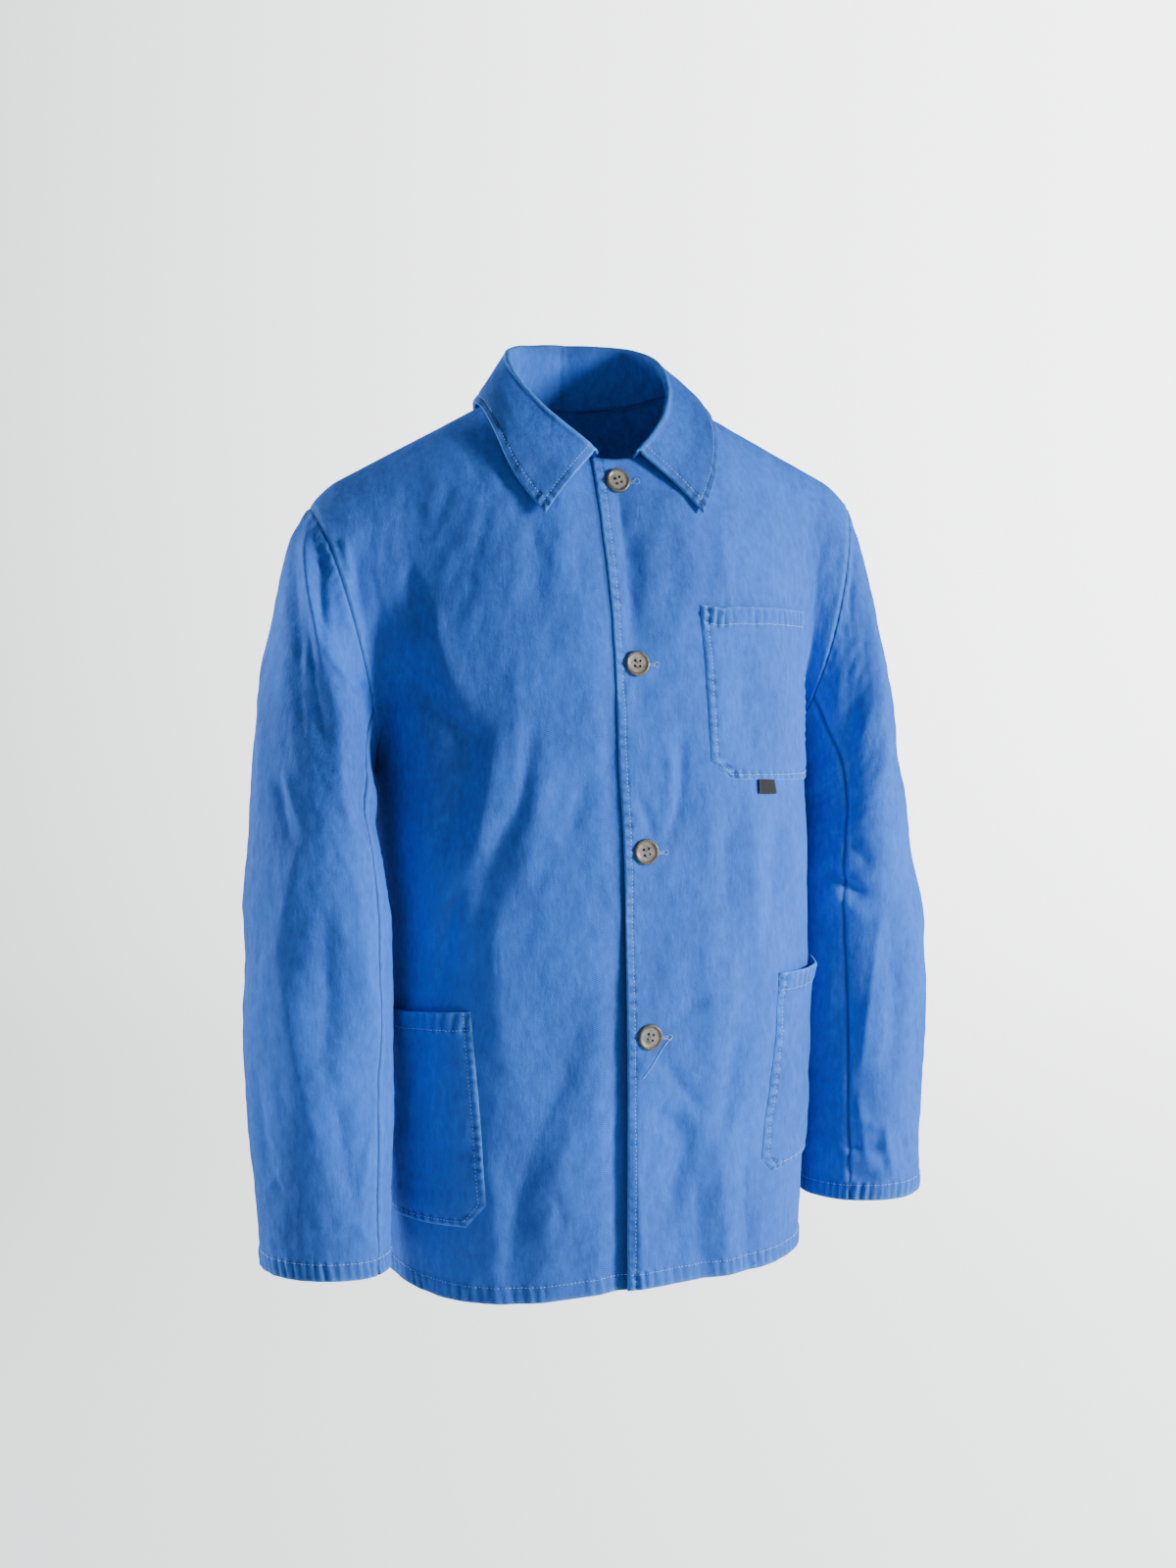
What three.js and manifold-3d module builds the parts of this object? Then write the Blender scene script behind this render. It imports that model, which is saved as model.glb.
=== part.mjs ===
// Chore jacket in the shape it has when worn, as separate pieces of cloth with their buttons.
// Millimetres, +Z up, front towards -Y, wearer's left towards +X.
// The origin is the middle of the neck base, level with the high points of the shoulders.
import * as THREE from "three";
import { mergeVertices } from "three/addons/utils/BufferGeometryUtils.js";
import Module from "manifold-3d";

const wasm = await Module();
wasm.setup();

// Cloth and seams
const cloth = 1.6;
const seam_gap = 0.3;
const lap_lift = (cloth + seam_gap) / 2;
const lap_ease = 30;
const patch_cloth = 1.5;

// Neck, shoulders and length
const neck_half = 75;
const neck_front = { y: -62, z: -58 };
const neck_back = { y: 60, z: -14 };
const shoulder_tip = { x: 252, y: 0, z: -100 };
const shoulder_slope = 0.5;
const shoulder_round = 27;
const neck_flatness = 1.3;
const underarm_z = -318;

// Height of the hem, from the wearer's right side seam (-1) round the front to the left one (1)
const hem_line = [
  { share: -1, z: -742 },
  { share: -0.45, z: -751 },
  { share: 0, z: -744 },
  { share: 0.45, z: -741 },
  { share: 1, z: -732 },
];
const back_hem_bend = 2;
const lap = 20;

// Half sizes of the body at each level, from its middle
const body_rings = [
  { down: 318, right: 190, left: 190, front: 125, back: 118 },
  { down: 390, right: 189, left: 191, front: 134, back: 119 },
  { down: 540, right: 187, left: 190, front: 142, back: 121 },
  { down: 640, right: 185, left: 186, front: 142, back: 122 },
  { down: 743, right: 183, left: 182, front: 141, back: 123 },
  { down: 760, right: 183, left: 182, front: 141, back: 123 },
];
const body_squareness = 2.6;
const side_seam_share = 0.57;
const front_neck_share = 0.27;
const back_neck_share = 0.33;
const neck_crowding = 1.25;

// How the cloth leaves the neckline or shoulder seam (lean) and comes down to the chest (rise),
// at shares of the way from the middle to the armhole
const front_fall = [
  { share: 0.0, lean_x: 0, lean_y: -18, lean_z: -72, rise_x: 0, rise_y: 6, rise_z: 100 },
  { share: 0.27, lean_x: 0, lean_y: -62, lean_z: -12, rise_x: 0, rise_y: 8, rise_z: 140 },
  { share: 0.6, lean_x: 0, lean_y: -60, lean_z: -8, rise_x: 0, rise_y: 2, rise_z: 125 },
  { share: 0.85, lean_x: -4, lean_y: -62, lean_z: -14, rise_x: 6, rise_y: -35, rise_z: 75 },
  { share: 1.0, lean_x: -6, lean_y: -72, lean_z: -24, rise_x: 10, rise_y: -100, rise_z: 18 },
];
const back_fall = [
  { share: 0.0, lean_x: 0, lean_y: 22, lean_z: -60, rise_x: 0, rise_y: 2, rise_z: 110 },
  { share: 0.33, lean_x: 0, lean_y: 52, lean_z: -6, rise_x: 0, rise_y: 2, rise_z: 130 },
  { share: 0.65, lean_x: 0, lean_y: 56, lean_z: -8, rise_x: 0, rise_y: 8, rise_z: 115 },
  { share: 0.85, lean_x: -4, lean_y: 55, lean_z: -16, rise_x: 6, rise_y: 30, rise_z: 75 },
  { share: 1.0, lean_x: -6, lean_y: 60, lean_z: -26, rise_x: 10, rise_y: 55, rise_z: 18 },
];

// The left armhole is drawn further in than the right one, more and more from this share on
const left_armhole_in = { from_share: 0.5, top: 15, bottom: 3 };

// Sleeve rings, down along the outside from the shoulder tip: outermost and innermost points of the
// ring as distances from the middle of the body, and its middle and half size from front to back
const sleeve_right_rings = [
  { down: 0, out_x: 252, out_z: -100, in_x: 196, in_z: -318, mid_y: -8, half_y: 68 },
  { down: 30, out_x: 268, out_z: -126, in_x: 200, in_z: -330, mid_y: -10, half_y: 72 },
  { down: 80, out_x: 281, out_z: -176, in_x: 203, in_z: -345, mid_y: -15, half_y: 76 },
  { down: 140, out_x: 294, out_z: -236, in_x: 205, in_z: -362, mid_y: -22, half_y: 77 },
  { down: 210, out_x: 305, out_z: -306, in_x: 203, in_z: -390, mid_y: -32, half_y: 77 },
  { down: 290, out_x: 313, out_z: -386, in_x: 198, in_z: -432, mid_y: -42, half_y: 75 },
  { down: 380, out_x: 318, out_z: -475, in_x: 196, in_z: -500, mid_y: -48, half_y: 71 },
  { down: 470, out_x: 318, out_z: -565, in_x: 197, in_z: -578, mid_y: -52, half_y: 67 },
  { down: 560, out_x: 312, out_z: -650, in_x: 199, in_z: -656, mid_y: -56, half_y: 61 },
  { down: 625, out_x: 307, out_z: -719, in_x: 201, in_z: -721, mid_y: -60, half_y: 56 },
];
const sleeve_left_rings = [
  { down: 0, out_x: 252, out_z: -100, in_x: 196, in_z: -318, mid_y: 0, half_y: 68 },
  { down: 30, out_x: 262, out_z: -126, in_x: 200, in_z: -330, mid_y: 2, half_y: 72 },
  { down: 80, out_x: 270, out_z: -176, in_x: 202, in_z: -345, mid_y: 5, half_y: 76 },
  { down: 140, out_x: 280, out_z: -236, in_x: 204, in_z: -362, mid_y: 6, half_y: 77 },
  { down: 210, out_x: 292, out_z: -306, in_x: 204, in_z: -390, mid_y: 6, half_y: 77 },
  { down: 290, out_x: 305, out_z: -386, in_x: 199, in_z: -432, mid_y: 5, half_y: 75 },
  { down: 380, out_x: 320, out_z: -475, in_x: 197, in_z: -500, mid_y: 2, half_y: 71 },
  { down: 470, out_x: 319, out_z: -560, in_x: 197, in_z: -572, mid_y: -6, half_y: 67 },
  { down: 560, out_x: 309, out_z: -645, in_x: 198, in_z: -650, mid_y: -16, half_y: 61 },
  { down: 620, out_x: 303, out_z: -708, in_x: 198, in_z: -709, mid_y: -24, half_y: 56 },
];
const sleeve_head_length = 130;

// Largest folds of the body, across from centre front or centre back towards the wearer's left and
// up from the neck base; a depth below zero is a trough
const front_folds = [
  { from_across: -235, from_z: -215, to_across: -150, to_z: -330, width: 17, depth: -6 },
  { from_across: -215, from_z: -180, to_across: -105, to_z: -330, width: 20, depth: 4 },
  { from_across: -150, from_z: -320, to_across: -215, to_z: -520, width: 20, depth: -5 },
  { from_across: -110, from_z: -380, to_across: -150, to_z: -640, width: 24, depth: 4 },
  { from_across: -72, from_z: -560, to_across: -125, to_z: -780, width: 17, depth: -6 },
  { from_across: -48, from_z: -600, to_across: -60, to_z: -790, width: 16, depth: 4 },
  { from_across: 60, from_z: -350, to_across: 54, to_z: -640, width: 15, depth: -4 },
  { from_across: 100, from_z: -370, to_across: 92, to_z: -790, width: 20, depth: 4 },
  { from_across: 150, from_z: -360, to_across: 135, to_z: -560, width: 15, depth: -5 },
  { from_across: 210, from_z: -230, to_across: 120, to_z: -160, width: 16, depth: -3 },
];
const back_folds = [
  { from_across: -195, from_z: -230, to_across: -120, to_z: -420, width: 20, depth: -6 },
  { from_across: 200, from_z: -240, to_across: 115, to_z: -400, width: 19, depth: -6 },
  { from_across: -70, from_z: -420, to_across: -90, to_z: -790, width: 24, depth: 5 },
  { from_across: 30, from_z: -380, to_across: 20, to_z: -790, width: 26, depth: -5 },
  { from_across: 120, from_z: -420, to_across: 135, to_z: -790, width: 22, depth: 5 },
  { from_across: -150, from_z: -520, to_across: -165, to_z: -790, width: 18, depth: -4 },
];
const fold_free_edge = 26;
const fold_end_share = 1 / 3;

// Largest folds of the sleeves, by degrees round from the outermost line towards the front, and down,
// with the millimetres of cloth for each degree
const sleeve_degree = 1.15;
const sleeve_right_folds = [
  { from_turn: 62, from_down: 10, to_turn: 108, to_down: 190, width: 15, depth: 5 },
  { from_turn: 88, from_down: 45, to_turn: 128, to_down: 170, width: 12, depth: -5 },
  { from_turn: 30, from_down: 120, to_turn: 95, to_down: 260, width: 20, depth: -4 },
  { from_turn: 150, from_down: 300, to_turn: 75, to_down: 400, width: 16, depth: -5 },
  { from_turn: 160, from_down: 370, to_turn: 85, to_down: 350, width: 16, depth: -4 },
  { from_turn: 40, from_down: 430, to_turn: 110, to_down: 520, width: 18, depth: -4 },
  { from_turn: 250, from_down: 200, to_turn: 320, to_down: 320, width: 20, depth: -5 },
  { from_turn: 230, from_down: 420, to_turn: 300, to_down: 380, width: 18, depth: -5 },
];
const sleeve_left_folds = [
  { from_turn: 70, from_down: 15, to_turn: 95, to_down: 160, width: 15, depth: 4 },
  { from_turn: 110, from_down: 90, to_turn: 60, to_down: 230, width: 18, depth: -4 },
  { from_turn: 150, from_down: 330, to_turn: 70, to_down: 380, width: 15, depth: -6 },
  { from_turn: 155, from_down: 400, to_turn: 80, to_down: 370, width: 14, depth: -4 },
  { from_turn: 95, from_down: 430, to_turn: 80, to_down: 600, width: 14, depth: 4 },
  { from_turn: 250, from_down: 180, to_turn: 320, to_down: 300, width: 20, depth: -5 },
  { from_turn: 240, from_down: 400, to_turn: 310, to_down: 440, width: 18, depth: -5 },
];

// Collar, from a front end (0) to centre back (1): its seam, its roll line and its outer edge
const collar_seam = [
  { share: 0.0, x: 17, y: -61.6, z: -55.6 },
  { share: 0.15, x: 34, y: -54.6, z: -43.8 },
  { share: 0.3, x: 56, y: -39.6, z: -25.8 },
  { share: 0.45, x: 73, y: -12, z: -2.8 },
  { share: 0.6, x: 73.5, y: 14, z: 1.2 },
  { share: 0.8, x: 52, y: 43.5, z: -6.8 },
  { share: 1.0, x: 0, y: 59.6, z: -11.9 },
];
const collar_roll = [
  { share: 0.0, x: 17, y: -69, z: -50 },
  { share: 0.15, x: 32, y: -62, z: -36 },
  { share: 0.3, x: 52, y: -43, z: -15 },
  { share: 0.45, x: 66, y: -14, z: 10 },
  { share: 0.6, x: 66, y: 16, z: 32 },
  { share: 0.8, x: 47, y: 44, z: 42 },
  { share: 1.0, x: 0, y: 58, z: 45 },
];
const collar_edge = [
  { share: 0.0, x: 72, y: -89, z: -103 },
  { share: 0.15, x: 83, y: -79, z: -87 },
  { share: 0.3, x: 94, y: -67, z: -66 },
  { share: 0.45, x: 102, y: -48, z: -36 },
  { share: 0.52, x: 105, y: -22, z: -15 },
  { share: 0.6, x: 104, y: 6, z: -9 },
  { share: 0.8, x: 82, y: 51, z: -27 },
  { share: 0.9, x: 46, y: 73, z: -27 },
  { share: 1.0, x: 0, y: 79, z: -26 },
];
const collar_roll_radius = 3;
const collar_bulge = 2.5;
const collar_fall_parts = [0.25, 0.5, 0.75];
const collar_columns_a_side = 12;

// Patch pockets on a front: across and up at the corners, from the top edge round to the slanted
// bottom corner nearest the middle; facing is the way each one looks, in degrees from the front
const pocket_shapes = {
  pocket_chest: {
    facing: 38,
    outline: [[60, -181], [216, -191], [208, -338], [84, -329], [64, -312]],
  },
  pocket_lower_left: {
    facing: 62,
    outline: [[131, -495], [280, -497], [280, -652], [127, -663], [114, -649]],
  },
  pocket_lower_right: {
    facing: -62,
    outline: [[-152, -512], [-288, -522], [-288, -692], [-160, -690], [-141, -670]],
  },
};
const tab_shape = {
  facing: 26,
  outline: [[113, -332], [132, -333.5], [133, -344], [112, -342.5]],
};
const prism_depth = 240;
const outline_steps = 4;

// Buttons
const button_heights = [-78, -231, -386, -538];
const button_radius = 10.8;
const button_profile = [
  [0, 0], [9.4, 0], [10.8, 1.1], [10.7, 2.7], [9.9, 3.5], [8.3, 3.3], [7.2, 2.5], [0, 2.4],
];
const button_sides = 20;
const button_hole_radius = 1;
const button_hole_offset = 2;
const button_hole_sides = 6;

// How finely the pieces are divided
const armhole_rows = 10;
const body_rows = 12;
const sleeve_rows = 20;
const sleeve_row_crowding = 1.15;
const sleeve_columns = 2 * armhole_rows;
const sleeve_seam_column = 7;
const lap_columns = [-20, -7, 7, 20];
const neck_columns = 3;
const shoulder_columns = 11;
const back_neck_columns = 4;
const even_angle_steps = 360;
const bisection_steps = 30;

// Pieces whose normals at a seam differ by more than this, as a cosine, turn back on each other
const turned_back = 0.5;

const mix = (from, to, share) => from + (to - from) * share;
const clamp = (value) => Math.min(1, Math.max(0, value));
const smooth = (value) => clamp(value) ** 2 * (3 - 2 * clamp(value));

// A row of a table at any value of its key column, on a smooth curve through the rows
function row_at(rows, key, value) {
  let index = 0;
  while (index < rows.length - 2 && value > rows[index + 1][key]) index += 1;
  const before = rows[Math.max(0, index - 1)];
  const from = rows[index];
  const to = rows[index + 1];
  const after = rows[Math.min(rows.length - 1, index + 2)];
  const span = to[key] - from[key];
  const share = clamp((value - from[key]) / span);
  const row = {};
  for (const name of Object.keys(from)) {
    const slope_from = (to[name] - before[name]) / (to[key] - before[key]) * span;
    const slope_to = (after[name] - from[name]) / (after[key] - from[key]) * span;
    row[name] = from[name] * (1 + 2 * share) * (1 - share) ** 2
      + slope_from * share * (1 - share) ** 2
      + to[name] * share ** 2 * (3 - 2 * share)
      + slope_to * share ** 2 * (share - 1);
  }
  return row;
}

// Angles that divide half of a body ring evenly, from centre front to centre back
const even_angles = (() => {
  const steps = even_angle_steps;
  const ring = body_rings[2];
  const points = [];
  for (let step = 0; step <= steps; step += 1) {
    points.push(ring_point(ring, 1, Math.PI * step / steps));
  }
  const lengths = [0];
  for (let step = 1; step <= steps; step += 1) {
    lengths.push(lengths[step - 1] + points[step].distanceTo(points[step - 1]));
  }
  return { steps, lengths, total: lengths[steps] };
})();

function ring_point(ring, side, angle) {
  const power = 2 / body_squareness;
  const half = side < 0 ? ring.right : ring.left;
  const cosine = Math.cos(angle);
  const depth = cosine > 0 ? -ring.front : ring.back;
  const x = side * half * Math.abs(Math.sin(angle)) ** power;
  const y = depth * Math.abs(cosine) ** power;
  return new THREE.Vector3(x, y, -ring.down);
}

function even_angle(share) {
  const target = share * even_angles.total;
  let step = 1;
  while (step < even_angles.steps && even_angles.lengths[step] < target) step += 1;
  const before = even_angles.lengths[step - 1];
  const part = (target - before) / (even_angles.lengths[step] - before);
  return Math.PI * (step - 1 + part) / even_angles.steps;
}

// A point of the body below the underarm; share runs from centre front (0) to centre back (1)
function body_point(share, side, z) {
  return ring_point(row_at(body_rings, "down", -z), side, even_angle(share));
}

function shoulder_point(side, share) {
  const x = mix(neck_half, shoulder_tip.x, share);
  const straight_z = -shoulder_slope * (x - neck_half);
  const tip_drop = shoulder_tip.z + shoulder_slope * (shoulder_tip.x - neck_half);
  const round = clamp((x - shoulder_tip.x + shoulder_round) / shoulder_round) ** 2;
  return new THREE.Vector3(side * x, shoulder_tip.y, straight_z + tip_drop * round);
}

// The neckline and shoulder seam; share runs from the middle (0) to the armhole (1)
function top_point(neck, neck_share, side, share) {
  if (share >= neck_share) return shoulder_point(side, (share - neck_share) / (1 - neck_share));
  const turn = Math.PI / 2 * (share / neck_share) ** neck_crowding;
  const x = side * neck_half * Math.sin(turn);
  return new THREE.Vector3(x, neck.y * Math.cos(turn), neck.z * Math.cos(turn) ** neck_flatness);
}

// The cloth between the top line (fall 0) and the underarm level (fall 1)
function upper_point(is_front, side, share, fall) {
  const neck = is_front ? neck_front : neck_back;
  const neck_share = is_front ? front_neck_share : back_neck_share;
  const shape = row_at(is_front ? front_fall : back_fall, "share", share);
  const ring_share = is_front ? share * side_seam_share : 1 - share * (1 - side_seam_share);
  const top = top_point(neck, neck_share, side, share);
  const bottom = body_point(ring_share, side, underarm_z);
  const lean = new THREE.Vector3(side * shape.lean_x, shape.lean_y, shape.lean_z).add(top);
  const rise = new THREE.Vector3(side * shape.rise_x, shape.rise_y, shape.rise_z).add(bottom);
  if (is_front && side > 0) {
    const near = smooth((share - left_armhole_in.from_share) / (1 - left_armhole_in.from_share));
    lean.x -= left_armhole_in.top * near;
    rise.x -= left_armhole_in.bottom * near;
  }
  return new THREE.CubicBezierCurve3(top, lean, rise, bottom).getPoint(fall);
}

// The hem of the back climbs from the right side seam to the left one, mostly near the middle
function back_hem(side, share) {
  const [right, left] = [hem_line[0].z, hem_line[hem_line.length - 1].z];
  return mix(right, left, (side * (1 - (1 - share) ** back_hem_bend) + 1) / 2);
}

// One row of points of the body; rows run from the top line down past the underarm to the hem
function torso_point(is_front, signed_share, row) {
  const side = signed_share < 0 ? -1 : 1;
  const share = Math.abs(signed_share);
  if (row <= armhole_rows) return upper_point(is_front, side, share, row / armhole_rows);
  const hem_z = is_front ? row_at(hem_line, "share", signed_share).z : back_hem(side, share);
  const z = mix(underarm_z, hem_z, (row - armhole_rows) / body_rows);
  const ring_share = is_front ? share * side_seam_share : 1 - share * (1 - side_seam_share);
  return body_point(ring_share, side, z);
}

const front_half_length = side_seam_share * even_angles.total;

function front_columns() {
  const columns = [...lap_columns];
  const neck_end = front_neck_share * front_half_length;
  for (let step = 1; step <= neck_columns; step += 1) {
    columns.push(mix(lap, neck_end, step / neck_columns));
  }
  for (let step = 1; step <= shoulder_columns; step += 1) {
    columns.push(mix(neck_end, front_half_length, step / shoulder_columns));
  }
  return columns.map((column) => column / front_half_length);
}

// Columns of the back run the other way, so that every grid has its outside in front
function back_columns() {
  const columns = [];
  for (let step = 0; step < back_neck_columns; step += 1) {
    columns.push(back_neck_share * step / back_neck_columns);
  }
  for (let step = 0; step <= shoulder_columns; step += 1) {
    columns.push(mix(back_neck_share, 1, step / shoulder_columns));
  }
  const mirrored = columns.slice(1).reverse().map((column) => -column);
  return [...mirrored, ...columns].reverse();
}

function torso_grid(is_front, columns) {
  const grid = [];
  for (let row = 0; row <= armhole_rows + body_rows; row += 1) {
    grid.push(columns.map((column) => torso_point(is_front, column, row)));
  }
  return grid;
}

// The armhole, from the shoulder tip down the front, under the arm and up the back
function armhole_point(side, column) {
  const around = ((column % sleeve_columns) + sleeve_columns) % sleeve_columns;
  if (around <= armhole_rows) return upper_point(true, side, 1, around / armhole_rows);
  return upper_point(false, side, 1, (sleeve_columns - around) / armhole_rows);
}

function sleeve_ring_point(ring, side, column) {
  const turn = 2 * Math.PI * column / sleeve_columns;
  const outer = new THREE.Vector3(ring.out_x, ring.mid_y, ring.out_z);
  const inner = new THREE.Vector3(ring.in_x, ring.mid_y, ring.in_z);
  const middle = inner.clone().lerp(outer, (1 + Math.cos(turn)) / 2);
  middle.y -= ring.half_y * Math.sin(turn);
  middle.x *= side;
  return middle;
}

function sleeve_point(rings, side, down, column) {
  const point = sleeve_ring_point(row_at(rings, "down", down), side, column);
  const head = armhole_point(side, column).sub(sleeve_ring_point(rings[0], side, column));
  return point.addScaledVector(head, 1 - smooth(down / sleeve_head_length));
}

// The collar stands up from the neckline to the roll line and falls back outwards to its edge
function collar_column(side, share) {
  const [seam, roll, edge] = [collar_seam, collar_roll, collar_edge].map((line) => {
    const { x, y, z } = row_at(line, "share", share);
    return new THREE.Vector3(side * x, y, z);
  });
  const out = edge.clone().sub(roll).setZ(0).normalize();
  const up = new THREE.Vector3(0, 0, 1);
  const inner_roll = roll.clone().addScaledVector(up, -collar_roll_radius);
  const halfway_up = seam.clone().lerp(inner_roll, 0.5);
  const outer_roll = inner_roll.clone().addScaledVector(out, 2 * collar_roll_radius);
  const top_roll = roll.clone().addScaledVector(out, collar_roll_radius);
  const fall = collar_fall_parts.map((part) => outer_roll.clone().lerp(edge, part)
    .addScaledVector(out, collar_bulge * Math.sin(Math.PI * part)));
  return [seam, halfway_up, inner_roll, top_roll, outer_roll, ...fall, edge];
}

function collar_grid() {
  const columns = [];
  for (let step = 0; step <= collar_columns_a_side; step += 1) {
    columns.push(collar_column(-1, step / collar_columns_a_side));
  }
  for (let step = collar_columns_a_side - 1; step >= 0; step -= 1) {
    columns.push(collar_column(1, step / collar_columns_a_side));
  }
  columns.reverse();
  return columns[0].map((point, row) => columns.map((column) => column[row]));
}

const sleeve_row_share = (row) => (row / sleeve_rows) ** sleeve_row_crowding;

function sleeve_grid(rings, side, from_column, to_column) {
  const length = rings[rings.length - 1].down;
  const grid = [];
  for (let row = 0; row <= sleeve_rows; row += 1) {
    const down = length * sleeve_row_share(row);
    const points = [];
    for (let column = from_column; column <= to_column; column += 1) {
      points.push(sleeve_point(rings, side, down, column));
    }
    if (side > 0) points.reverse();
    grid.push(points);
  }
  return grid;
}

function fold_depth(folds, across_name, along_name, across, along, across_scale) {
  let depth = 0;
  for (const fold of folds) {
    const place = (end) => new THREE.Vector2(
      fold[`${end}_${across_name}`] * across_scale, fold[`${end}_${along_name}`]);
    const start = place("from");
    const end = place("to");
    const line = end.clone().sub(start);
    const offset = new THREE.Vector2(across * across_scale, along).sub(start);
    const share = offset.dot(line) / line.lengthSq();
    const beside = Math.abs(offset.cross(line)) / line.length();
    const ends = smooth(share / fold_end_share) * smooth((1 - share) / fold_end_share);
    depth += fold.depth * ends * Math.exp(-((beside / fold.width) ** 2));
  }
  return depth;
}

// Folds of a front or the back fade out towards the side seam, armhole and shoulder
function body_fold(is_front, signed_share, point) {
  const half = is_front ? front_half_length : even_angles.total - front_half_length;
  const from_seam = (1 - Math.abs(signed_share)) * half;
  const folds = is_front ? front_folds : back_folds;
  const depth = fold_depth(folds, "across", "z", signed_share * half, point.z, 1);
  return depth * smooth(from_seam / fold_free_edge);
}

function lap_offset(signed_share, is_left) {
  const across = signed_share * front_half_length;
  const from_edge = is_left ? across : -across;
  const lift = lap_lift * (1 - smooth((from_edge - lap) / lap_ease));
  return is_left ? lift : -lift;
}

// Folds of a sleeve fade out towards the armhole
function sleeve_fold(folds, turn, down) {
  const round = turn < 0 ? turn + 360 : turn;
  const depth = fold_depth(folds, "turn", "down", round, down, sleeve_degree);
  return depth * smooth(down / fold_free_edge);
}

// Pieces of cloth are grids of points, with rows downwards and columns to the left as seen from
// outside. Pieces that share a seam share its points, and the normals there are worked out together.
const pieces = {};

function torso_piece(is_front, columns, offset) {
  return {
    grid: torso_grid(is_front, columns),
    moved: (row, column, point) => body_fold(is_front, columns[column], point) + offset(columns[column]),
  };
}

function sleeve_piece(rings, folds, side, from_column, to_column) {
  const length = rings[rings.length - 1].down;
  const grid = sleeve_grid(rings, side, from_column, to_column);
  return {
    grid,
    moved: (row, column) => {
      const ring_column = side < 0 ? from_column + column : to_column - column;
      return sleeve_fold(folds, ring_column * 360 / sleeve_columns, length * sleeve_row_share(row));
    },
  };
}

const left_columns = front_columns();
const right_columns = left_columns.map((column) => -column).reverse();
const under_end = sleeve_columns - sleeve_seam_column;
pieces.front_right = torso_piece(true, right_columns, (share) => lap_offset(share, false));
pieces.front_left = torso_piece(true, left_columns, (share) => lap_offset(share, true));
pieces.back = torso_piece(false, back_columns(), () => 0);
pieces.sleeve_top_right = sleeve_piece(
  sleeve_right_rings, sleeve_right_folds, -1, -sleeve_seam_column, sleeve_seam_column);
pieces.sleeve_under_right = sleeve_piece(
  sleeve_right_rings, sleeve_right_folds, -1, sleeve_seam_column, under_end);
pieces.sleeve_top_left = sleeve_piece(
  sleeve_left_rings, sleeve_left_folds, 1, -sleeve_seam_column, sleeve_seam_column);
pieces.sleeve_under_left = sleeve_piece(
  sleeve_left_rings, sleeve_left_folds, 1, sleeve_seam_column, under_end);
pieces.collar = { grid: collar_grid(), moved: () => 0 };

const place_key = (point) => point.toArray().map((value) => Math.round(value * 100)).join(",");

function shared_normals(grids) {
  const normals = new Map();
  const edge_down = new THREE.Vector3();
  const edge_across = new THREE.Vector3();
  for (const { grid } of Object.values(grids)) {
    for (let row = 0; row < grid.length - 1; row += 1) {
      for (let column = 0; column < grid[0].length - 1; column += 1) {
        const corners = [grid[row][column], grid[row][column + 1],
          grid[row + 1][column + 1], grid[row + 1][column]];
        edge_down.subVectors(corners[2], corners[0]);
        edge_across.subVectors(corners[1], corners[3]);
        const normal = new THREE.Vector3().crossVectors(edge_down, edge_across);
        for (const corner of corners) {
          const key = place_key(corner);
          if (!normals.has(key)) normals.set(key, new THREE.Vector3());
          normals.get(key).add(normal);
        }
      }
    }
  }
  for (const normal of normals.values()) normal.normalize();
  return normals;
}

// Moves the border points of a piece in from the seam by half of the gap
function drawn_in(grid) {
  const last_row = grid.length - 1;
  const last_column = grid[0].length - 1;
  const step_in = (point, neighbour) => (
    neighbour.clone().sub(point).normalize().multiplyScalar(seam_gap / 2));
  return grid.map((points, row) => points.map((point, column) => {
    const moved = point.clone();
    if (row === 0) moved.add(step_in(point, grid[1][column]));
    if (row === last_row) moved.add(step_in(point, grid[last_row - 1][column]));
    if (column === 0) moved.add(step_in(point, points[1]));
    if (column === last_column) moved.add(step_in(point, points[last_column - 1]));
    return moved;
  }));
}

// A closed wall between an outer and an inner grid of points
function wall_geometry(outer, inner) {
  const rows = outer.length;
  const columns = outer[0].length;
  const positions = [];
  for (const grid of [outer, inner]) {
    for (const points of grid) {
      for (const point of points) positions.push(point.x, point.y, point.z);
    }
  }
  const outer_index = (row, column) => row * columns + column;
  const inner_index = (row, column) => (rows + row) * columns + column;
  const faces = [];
  const quad = (a, b, c, d) => faces.push(a, b, c, a, c, d);
  for (let row = 0; row < rows - 1; row += 1) {
    for (let column = 0; column < columns - 1; column += 1) {
      quad(outer_index(row, column), outer_index(row + 1, column),
        outer_index(row + 1, column + 1), outer_index(row, column + 1));
      quad(inner_index(row, column), inner_index(row, column + 1),
        inner_index(row + 1, column + 1), inner_index(row + 1, column));
    }
    const last = columns - 1;
    quad(outer_index(row, 0), inner_index(row, 0),
      inner_index(row + 1, 0), outer_index(row + 1, 0));
    quad(outer_index(row, last), outer_index(row + 1, last),
      inner_index(row + 1, last), inner_index(row, last));
  }
  for (let column = 0; column < columns - 1; column += 1) {
    const last = rows - 1;
    quad(outer_index(0, column), outer_index(0, column + 1),
      inner_index(0, column + 1), inner_index(0, column));
    quad(outer_index(last, column), inner_index(last, column),
      inner_index(last, column + 1), outer_index(last, column + 1));
  }
  const geometry = new THREE.BufferGeometry();
  geometry.setAttribute("position", new THREE.Float32BufferAttribute(positions, 3));
  geometry.setIndex(faces);
  geometry.computeVertexNormals();
  return geometry;
}

const group = new THREE.Group();
const blue_cloth = { color: 0x3f6fb8, roughness: 0.9, metalness: 0 };
const black_cloth = { color: 0x15161a, roughness: 0.85, metalness: 0 };
const horn = { color: 0x6d6157, roughness: 0.35, metalness: 0 };

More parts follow.
